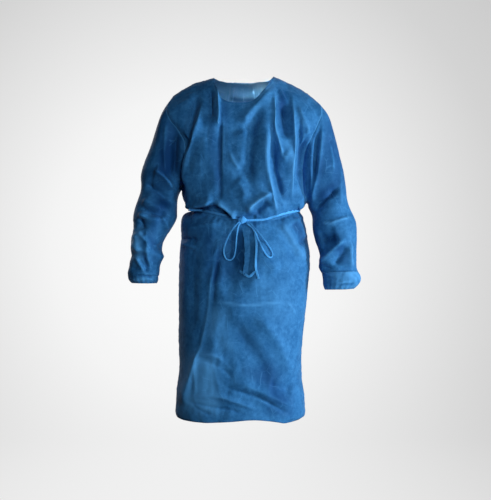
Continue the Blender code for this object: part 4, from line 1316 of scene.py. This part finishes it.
@dataclass
class Cuffs:
    """Gathered sleeve ends."""

    flats: dict[str, Point] = field(default_factory=lambda: {
        "cuff_left": (0.36, 0.075), "cuff_right": (0.34, 0.042)})
    # How much paler each cuff is painted all over: painted light, more on the left cuff, on the key
    # lamp's side.
    painted_light: dict[str, float] = field(default_factory=lambda: {"cuff_left": 0.45, "cuff_right": 0.12})
    thickness: float = 0.8 * MM
    gather_scale: float = 75.0
    gather_stretch: float = 0.4
    gather_rise: float = 0.7 * MM
    swell_scale: float = 32.0
    swell_rise: float = 1.2 * MM
    # Raised gathers are painted paler and their hollows darker: painted light and shade.
    ripple_shading: float = 0.25

    def build(self) -> None:
        """Both cuffs."""
        for name, flat in self.flats.items():
            piece = new_object(name + "_cloth", outer_wall(name))
            subdivide(piece, 3)
            places, normals = vertex_arrays(piece.data)
            ripple = np.array([self._ripple(place) for place in places])
            lift, painted_light = self._placed(CUFF_CREASES[name], places, normals)
            set_places(piece.data, places + normals * (ripple + lift * MM)[:, None])
            # The cuff takes its painted light all over, with the painted light and shade of its gathers
            # and creases.
            set_tone(piece.data, self.painted_light[name] + self.ripple_shading * ripple / MM + painted_light)
            dress(piece, name, ("cloth", "inner"), self.thickness)
            LOG.info("%s: %d faces", piece.name, len(piece.data.polygons))

    def _placed(self, creases: Sequence[Crease], places: np.ndarray,
                normals: np.ndarray) -> np.ndarray:
        """The creases that are placed by hand, the other way round on the back.

        Args:
            creases: the cuff's creases.
            places: its vertices.
            normals: their normals.

        Returns:
            A row of lifts in millimetres and a row of painted light and shade.
        """
        front = smooth_step(0.5 - normals[:, 1])
        x, z = places[:, 0] / MM, places[:, 2] / MM
        turned = 2 * x.mean() - x
        return sum(crease.relief(x, z) * front + crease.relief(turned, z) * (1 - front)
                   for crease in creases)

    def _ripple(self, place: np.ndarray) -> float:
        """Uneven gathers at one place, in metres."""
        spot = Vector((place[0], place[1], place[2] * self.gather_stretch))
        gather = 0.5 - abs(noise.noise(spot * self.gather_scale))
        swell = noise.noise(Vector(place) * self.swell_scale)
        return self.gather_rise * gather + self.swell_rise * swell


class Lay:
    """Finds the dressed cloth's surface, so that ties lie on it."""

    def __init__(self, pieces: Sequence[bpy.types.Object]) -> None:
        """Takes in the cloth that something may lie on.

        Args:
            pieces: the cloth pieces.
        """
        joined = bmesh.new()
        for piece in pieces:
            joined.from_mesh(piece.data)
        self.tree = BVHTree.FromBMesh(joined)
        joined.free()

    def front(self, x: float, z: float, off: float) -> Vector:
        """A place off millimetres in front of the cloth, at x and z in millimetres."""
        return self._hit(Vector((x * MM, -0.6, z * MM)), Vector((0, 1, 0)), off)

    def back(self, x: float, z: float, off: float) -> Vector:
        """A place off millimetres behind the cloth, at x and z in millimetres."""
        return self._hit(Vector((x * MM, 0.6, z * MM)), Vector((0, -1, 0)), off)

    def round(self, middle: Vector, angle: float, off: float) -> Vector:
        """A place off millimetres outside the cloth, seen from a middle at an angle."""
        away = Vector((math.cos(angle), math.sin(angle), 0))
        return self._hit(middle + away * 0.5, -away, off)

    def _hit(self, start: Vector, way: Vector, off: float) -> Vector:
        """First place that a line meets, moved back along it.

        Args:
            start: where the line starts.
            way: its direction, of length 1.
            off: how far back the place is moved, in millimetres.

        Returns:
            The place.
        """
        place, _, _, _ = self.tree.ray_cast(start, way)
        if place is None:
            raise ValueError(f"no cloth lies at {start}")
        return place - way * off * MM


@dataclass
class FoldedStrip:
    """A strip of cloth, folded lengthwise into plies and laid along a path. Widths are in mm."""

    name: str
    path: np.ndarray
    facing: np.ndarray
    flat_width: float = 24.0
    shown_width: float = 8.0
    plies: int = 3
    ply_gap: float = 0.6
    twist: float = 12.0
    seed: float = 0.0
    thickness: float = 0.35
    row_pace: float = 0.23
    width_change: float = 0.16
    roundness: float = 0.35

    def build(self) -> bpy.types.Object:
        """The strip as a thin sheet in its folds."""
        steps = 4 * self.plies if self.plies > 1 else 8
        rows = len(self.path)
        bm = bmesh.new()
        bmesh.ops.create_grid(bm, x_segments=steps, y_segments=rows - 1, size=1.0)
        tangent = np.gradient(self.path, axis=0)
        tangent /= np.linalg.norm(tangent, axis=1, keepdims=True)
        for vert in bm.verts:
            share = (vert.co.x + 1) / 2
            row = round((vert.co.y + 1) / 2 * (rows - 1))
            vert.co = self._place(share, row, Vector(tangent[row]))
        bmesh.ops.recalc_face_normals(bm, faces=bm.faces)
        piece = new_object(self.name, bm)
        modify(piece, "SOLIDIFY", thickness=self.thickness * MM, offset=0.0)
        subdivide(piece, 1)
        return piece

    def _place(self, share: float, row: int, along: Vector) -> Vector:
        """Where a point of the flat strip lies.

        Args:
            share: the point's share of the width.
            row: its number along the path.
            along: the path's direction there.

        Returns:
            The place.
        """
        here = row * self.row_pace + self.seed
        turn = math.radians(self.twist) * noise.noise(Vector((here * 0.35, 1.7, self.seed)))
        side = along.cross(Vector(self.facing[row])).normalized()
        out = side.cross(along).normalized()
        side, out = (side * math.cos(turn) + out * math.sin(turn),
                     out * math.cos(turn) - side * math.sin(turn))
        uneven = noise.noise(Vector((here * 0.8, 4.2, self.seed)))
        width = self.shown_width * (1 + self.width_change * uneven)
        at = share * self.plies
        saw = abs((at % 2) - 1)
        rounded = smooth_step(np.array(saw)) * self.roundness + saw * (1 - self.roundness)
        depth = (at - self.plies / 2) * self.ply_gap
        depth += 0.5 * noise.noise(Vector((share * 5, here * 1.3, self.seed)))
        return Vector(self.path[row]) + side * (0.5 - rounded) * width * MM + out * depth * MM


@dataclass(frozen=True)
class KnotForm:
    """How plies lie on a knot: a slanting band with fine lines on it, and plies beside the band."""

    slant: float = 0.22
    band_width: float = 0.17
    band_swell: float = 0.16
    line_count: float = 17.0
    line_swell: float = 0.06
    ply_lean: float = 0.6
    ply_count: float = 11.0
    ply_swell: float = 0.07
    ply_width: float = 0.05
    uneven_scale: float = 5.0
    uneven_swell: float = 0.08

    def place(self, at: Vector, size: Triple) -> Vector:
        """Where a point of a ball of width 1 lies on the knot.

        Args:
            at: the point, from the ball's middle.
            size: the knot's size.

        Returns:
            The place, in the size's unit.
        """
        across = at.x - self.slant * at.z
        band = math.exp(-(across / self.band_width) ** 2)
        plies = abs(math.sin((at.z + self.ply_lean * at.x) * self.ply_count)) * (1 - band)
        lines = abs(math.sin(across * self.line_count)) * band
        swell = 1 + self.band_swell * band + self.ply_swell * plies + self.line_swell * lines
        swell += self.uneven_swell * noise.noise(at * self.uneven_scale)
        return Vector((at.x * size[0] * (1 + self.ply_width * plies), at.y * size[1] * swell,
                       at.z * size[2] * swell))


@dataclass
class Ties:
    """Waist tie with its bow and hanging ends, and the neck tie at the back.

    A route's points are x, z and how far off the cloth it runs, all in millimetres.
    """

    lay: Lay
    step: float = 2.6
    knot: Triple = (-6, -474, 8)
    knot_size: Triple = (27, 13, 21)
    neck_knot: Triple = (-8, -30, 5.3)
    neck_knot_size: Triple = (18, 9.5, 12.5)
    routes: dict[str, tuple[Triple, ...]] = field(default_factory=lambda: {
        "bow_loop_long": (
            (-12, -478, 7), (-22, -486, 8), (-40, -508, 9), (-57, -540, 8), (-66, -573, 6),
            (-61, -596, 5), (-46, -605, 6), (-33, -594, 8), (-27, -566, 9), (-24, -528, 9),
            (-18, -494, 8), (-10, -480, 6)),
        "bow_loop_short": (
            (6, -480, 7), (18, -484, 8.5), (38, -505, 8.5), (56, -526, 7.5), (77, -555, 6),
            (90, -577, 4.5), (90, -594, 4.5), (77, -592, 5), (61, -569, 6), (48, -542, 7),
            (30, -504, 7), (8, -485, 6)),
        "bow_end_narrow": (
            (6, -480, 4), (20, -490, 4), (33, -512, 4), (39, -555, 4), (37, -606, 4), (38, -634, 4),
            (46, -664, 4)),
        "bow_end_flat": (
            (-1, -482, 3), (2, -494, 2.5), (8, -518, 2.2), (13, -561, 2.2), (12, -610, 2.2),
            (6, -650, 2.4)),
        "neck_tie_left": (
            (-4, -36, 4), (0, -48, 3), (8, -75, 2.5), (20, -130, 2.5), (24, -185, 2.5)),
        "neck_tie_right": (
            (-12, -36, 4), (-16, -48, 3), (-22, -70, 2.5), (-34, -120, 2.5), (-36, -160, 2.5)),
    })
    flat_end: str = "bow_end_flat"
    turned: tuple[Triple, ...] = ((-14, -640, 3.4), (1, -649, 3.8), (15, -657, 4.2), (20, -655, 4),
                                  (28, -647, 3.4), (36, -640, 3))
    cord_width: float = 4.8
    shown: dict[str, float] = field(default_factory=lambda: {
        "bow_end_flat": 24.0, "bow_end_narrow": 7.6})
    flat_twist: float = 10.0
    cord_twist: float = 26.0
    # Painted shade on the front of the right waist tie, where the bodice overhangs it; it fades out
    # towards the back.
    painted_light: dict[str, float] = field(default_factory=lambda: {"waist_tie_right": -0.45})
    tone_depth: float = 0.1
    sewn_x: dict[str, float] = field(default_factory=lambda: {
        "waist_tie_left": 78.0, "waist_tie_right": -40.0})
    band_points: int = 120
    band_width: float = 7.6
    band_twist: float = 18.0
    band_squash: float = 0.62
    waist_x: float = 5.0
    waist_half: float = 177.0
    turn_half: float = 130.0
    knot_half: float = 12.0
    back_level: float = -437.0
    back_rise: float = 8.0
    band_off: float = 1.6
    knot_off: float = 4.0
    knot_from: float = 0.9

    def build(self) -> None:
        """All ties and knots."""
        for seed, (name, route) in enumerate(self.routes.items()):
            self._hanging(name, route, seed * 3.7)
        for seed, name in enumerate(self.sewn_x):
            self._waist(name, seed * 5.3 + 40)
        self._knot("bow_knot", self.lay.front(*self.knot), self.knot_size)
        self._knot("neck_knot", self.lay.back(*self.neck_knot), self.neck_knot_size)

    def _even(self, path: np.ndarray, rounds: int) -> np.ndarray:
        """The path with points one step apart and its small steps smoothed away.

        Args:
            path: points in metres.
            rounds: how often it is smoothed.

        Returns:
            The new points.
        """
        run = np.concatenate([[0], np.cumsum(np.linalg.norm(np.diff(path, axis=0), axis=1))])
        at = np.linspace(0, run[-1], max(8, round(run[-1] / (self.step * MM))))
        path = np.stack([np.interp(at, run, path[:, k]) for k in range(3)], axis=1)
        for _ in range(rounds):
            path[1:-1] = (path[:-2] + 2 * path[1:-1] + path[2:]) / 4
        return path

    def _turned_end(self) -> bpy.types.Object:
        """The folded over corner that closes the flat end."""
        path = self._even(np.array([self.lay.front(*point) for point in spline(self.turned, 6)]), 2)
        faces = np.tile([0.0, -1.0, 0.0], (len(path), 1))
        strip = FoldedStrip(self.flat_end + "_fold", path, faces, plies=2, twist=8.0, seed=2.6)
        piece = strip.build()
        dress(piece, None, ("tie",))
        return piece

    def _finish(self, strip: FoldedStrip, node: str) -> None:
        """Args:
            strip: the strip.
            node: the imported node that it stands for.
        """
        piece = strip.build()
        # Only the front of a tie takes its painted shade.
        forward = smooth_step(-vertex_arrays(piece.data)[0][:, 1] / self.tone_depth)
        set_tone(piece.data, self.painted_light.get(node, 0.0) * forward)
        dress(piece, node, ("cloth" if node == self.flat_end else "tie",))
        length = float(np.linalg.norm(np.diff(strip.path, axis=0), axis=1).sum())
        ends = [self._turned_end()] if node == self.flat_end else []
        flat = (strip.flat_width * MM, round(length, 3))
        LOG.info("%s: %.3f m long", piece.name, length)

    def _hanging(self, node: str, route: Sequence[Triple], seed: float) -> None:
        """A strip that hangs on the front or the back.

        Args:
            node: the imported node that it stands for.
            route: where it runs.
            seed: what its unevenness starts from.
        """
        at_back = node.startswith("neck")
        put = self.lay.back if at_back else self.lay.front
        path = self._even(np.array([put(*point) for point in spline(route, 8)]), 6)
        faces = np.tile([0.0, 1.0 if at_back else -1.0, 0.0], (len(path), 1))
        flat = node == self.flat_end
        strip = FoldedStrip(node + "_strip", path, faces, seed=seed, plies=1 if flat else 4,
                            shown_width=self.shown.get(node, self.cord_width),
                            twist=self.flat_twist if flat else self.cord_twist)
        self._finish(strip, node)

    def _waist(self, node: str, seed: float) -> None:
        """Half of the band round the waist, from where it is sewn to the knot.

        Args:
            node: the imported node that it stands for.
            seed: what its unevenness starts from.
        """
        side = 1 if node.endswith("left") else -1
        levels = spline(WAIST_LINE, 8)
        start = math.acos((self.sewn_x[node] - self.waist_x) * side / self.turn_half)
        end = -math.acos(-self.knot_half * side / self.turn_half)
        path = []
        for share in np.linspace(0.0, 1.0, self.band_points):
            angle = start + (end - start) * share
            if side < 0:
                angle = math.pi - angle
            high = math.sin(angle)
            x = self.waist_x + self.waist_half * math.copysign(oval(high), math.cos(angle))
            level = np.interp(x, *levels.T) if high < 0 else self.back_level + self.back_rise * high
            near = max(0.0, (share - self.knot_from) / (1 - self.knot_from))
            middle = Vector((self.waist_x * MM, 0, level * MM))
            path.append(self.lay.round(middle, angle, self.band_off + self.knot_off * near * near))
        path = self._even(np.array(path), 10)
        faces = (path - np.array((self.waist_x * MM, 0, 0))) * (self.band_squash, 1, 0)
        faces /= np.linalg.norm(faces, axis=1, keepdims=True)
        strip = FoldedStrip(node + "_strip", path, faces, seed=seed, shown_width=self.band_width,
                            twist=self.band_twist)
        self._finish(strip, node)

    def _knot(self, node: str, centre: Vector, size: Triple) -> None:
        """A knot of wrapped plies: a round core whose wraps stand out as ridges.

        Args:
            node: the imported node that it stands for.
            centre: its place.
            size: its size in millimetres.
        """
        bm = bmesh.new()
        bmesh.ops.create_icosphere(bm, subdivisions=5, radius=0.5)
        for vert in bm.verts:
            vert.co = KnotForm().place(vert.co, size) * MM + centre
        piece = new_object(node + "_wrap", bm)
        dress(piece, node, ("tie",))
        LOG.info("%s: tied", piece.name)


@dataclass(frozen=True)
class Lamp:
    """One soft round light."""

    name: str
    place: Triple
    size: float
    power: float
    aim: Triple = (0.0, -0.05, -0.57)
    spread: float = 180.0

    def build(self) -> None:
        """Puts the light up."""
        data = bpy.data.lights.new(self.name, "AREA")
        data.shape = "DISK"
        data.size = self.size
        data.energy = self.power
        data.spread = math.radians(self.spread)
        lamp = bpy.data.objects.new(self.name, data)
        lamp.location = self.place
        way = Vector(self.aim) - Vector(self.place)
        lamp.rotation_euler = way.to_track_quat("-Z", "Y").to_euler()
        bpy.context.scene.collection.objects.link(lamp)


LAMPS = (
    Lamp("key", (2.9, -1.0, -0.6), 0.8, 105.0),
    Lamp("low", (1.9, -2.2, -1.8), 0.9, 36.0),
    Lamp("front", (0.7, -3.3, 0.6), 0.9, 44.0),
    Lamp("rear", (-2.2, 2.6, 0.4), 1.4, 20.0),
    Lamp("neck", (-0.35, -0.95, 0.50), 0.16, 0.14, (0.070, 0.05, 0.0), 8.0),
)


@dataclass
class Studio:
    """Pale sweep, soft lights and the camera."""

    floor_level: float = -1.62
    wall_y: float = 4.2
    wall_top: float = 5.0
    bend: float = 1.6
    bend_steps: int = 24
    half_width: float = 3.6
    near_y: float = 0.8
    shades: tuple[Point, ...] = ((0.0, 0.97), (0.20, 0.95), (0.33, 0.905), (0.50, 0.79),
                                 (0.70, 0.655), (0.85, 0.605))
    glow_centre: Triple = (0.10, 0.0, 0.17)
    glow_scale: Triple = (0.34, 0.0, 0.34)
    world_colour: Triple = (0.80, 0.81, 0.83)
    world_strength: float = 0.03
    camera_place: Triple = (0.0043, -4.2, -0.571)
    lens: float = 60.36
    sensor: float = 24.0

    def build(self) -> None:
        """Backdrop, lights and camera."""
        self._sweep()
        for lamp in LAMPS:
            lamp.build()
        self._world()
        self._camera()
        LOG.info("studio: %d lamps", len(LAMPS))

    def _sweep(self) -> None:
        """Floor that curves up into a wall and glows by itself, with a painted pool of light, palest
        behind the gown.
        """
        rows = [(self.near_y, self.floor_level)]
        turn = np.linspace(-math.pi / 2, 0, self.bend_steps)
        for angle in turn:
            rows.append((self.wall_y - self.bend + self.bend * math.cos(angle),
                         self.floor_level + self.bend + self.bend * math.sin(angle)))
        rows.append((self.wall_y, self.wall_top))
        bm = bmesh.new()
        verts = [bm.verts.new((-self.half_width, y, z)) for y, z in rows]
        edges = [bm.edges.new(pair) for pair in zip(verts, verts[1:])]
        grown = bmesh.ops.extrude_edge_only(bm, edges=edges)
        moved = [v for v in grown["geom"] if isinstance(v, bmesh.types.BMVert)]
        bmesh.ops.translate(bm, verts=moved, vec=(2 * self.half_width, 0, 0))
        sweep = new_object("studio_sweep", bm)
        graph = Graph("sweep_paper_glow")
        place = graph.value("ShaderNodeTexCoord", {}, {}, "Object")
        centred = graph.mapped(place, Location=self.glow_centre, Scale=self.glow_scale)
        away = graph.value("ShaderNodeVectorMath", {"operation": "LENGTH"}, {0: centred}, "Value")
        shade_there = graph.ramp(away, self.shades)
        lit = graph.node("ShaderNodeEmission", {}, {"Color": shade_there, "Strength": 1.0})
        sweep.data.materials.append(graph.surface(lit))

    def _world(self) -> None:
        """Even pale surroundings."""
        world = bpy.data.worlds.new("studio")
        world.use_nodes = True
        background = world.node_tree.nodes["Background"]
        background.inputs["Color"].default_value = (*self.world_colour, 1.0)
        background.inputs["Strength"].default_value = self.world_strength
        bpy.context.scene.world = world

    def _camera(self) -> None:
        """Level camera in front of the gown."""
        data = bpy.data.cameras.new("camera")
        data.sensor_fit = "VERTICAL"
        data.sensor_height = self.sensor
        data.lens = self.lens
        camera = bpy.data.objects.new("camera", data)
        camera.location = self.camera_place
        camera.rotation_euler = (math.pi / 2, 0, 0)
        bpy.context.scene.collection.objects.link(camera)
        bpy.context.scene.camera = camera


def main() -> None:
    """Builds every piece of the gown, then the studio."""
    logging.basicConfig(level=logging.INFO, format="%(name)s: %(message)s")
    noise.seed_set(NOISE_SEED)
    bpy.context.scene.view_settings.view_transform = "Standard"
    for finish, cloth in (("cloth", GOWN_CLOTH), ("inner", PAINTED_LIT_INNER_SIDE), ("tie", TIE_CLOTH)):
        MATERIALS[finish] = cloth.build()
    panels = ClothShell().build()
    Cuffs().build()
    Ties(Lay([panels["front"], panels["back_left"], panels["back_right"]])).build()
    Studio().build()


if __name__ == "__main__":
    main()
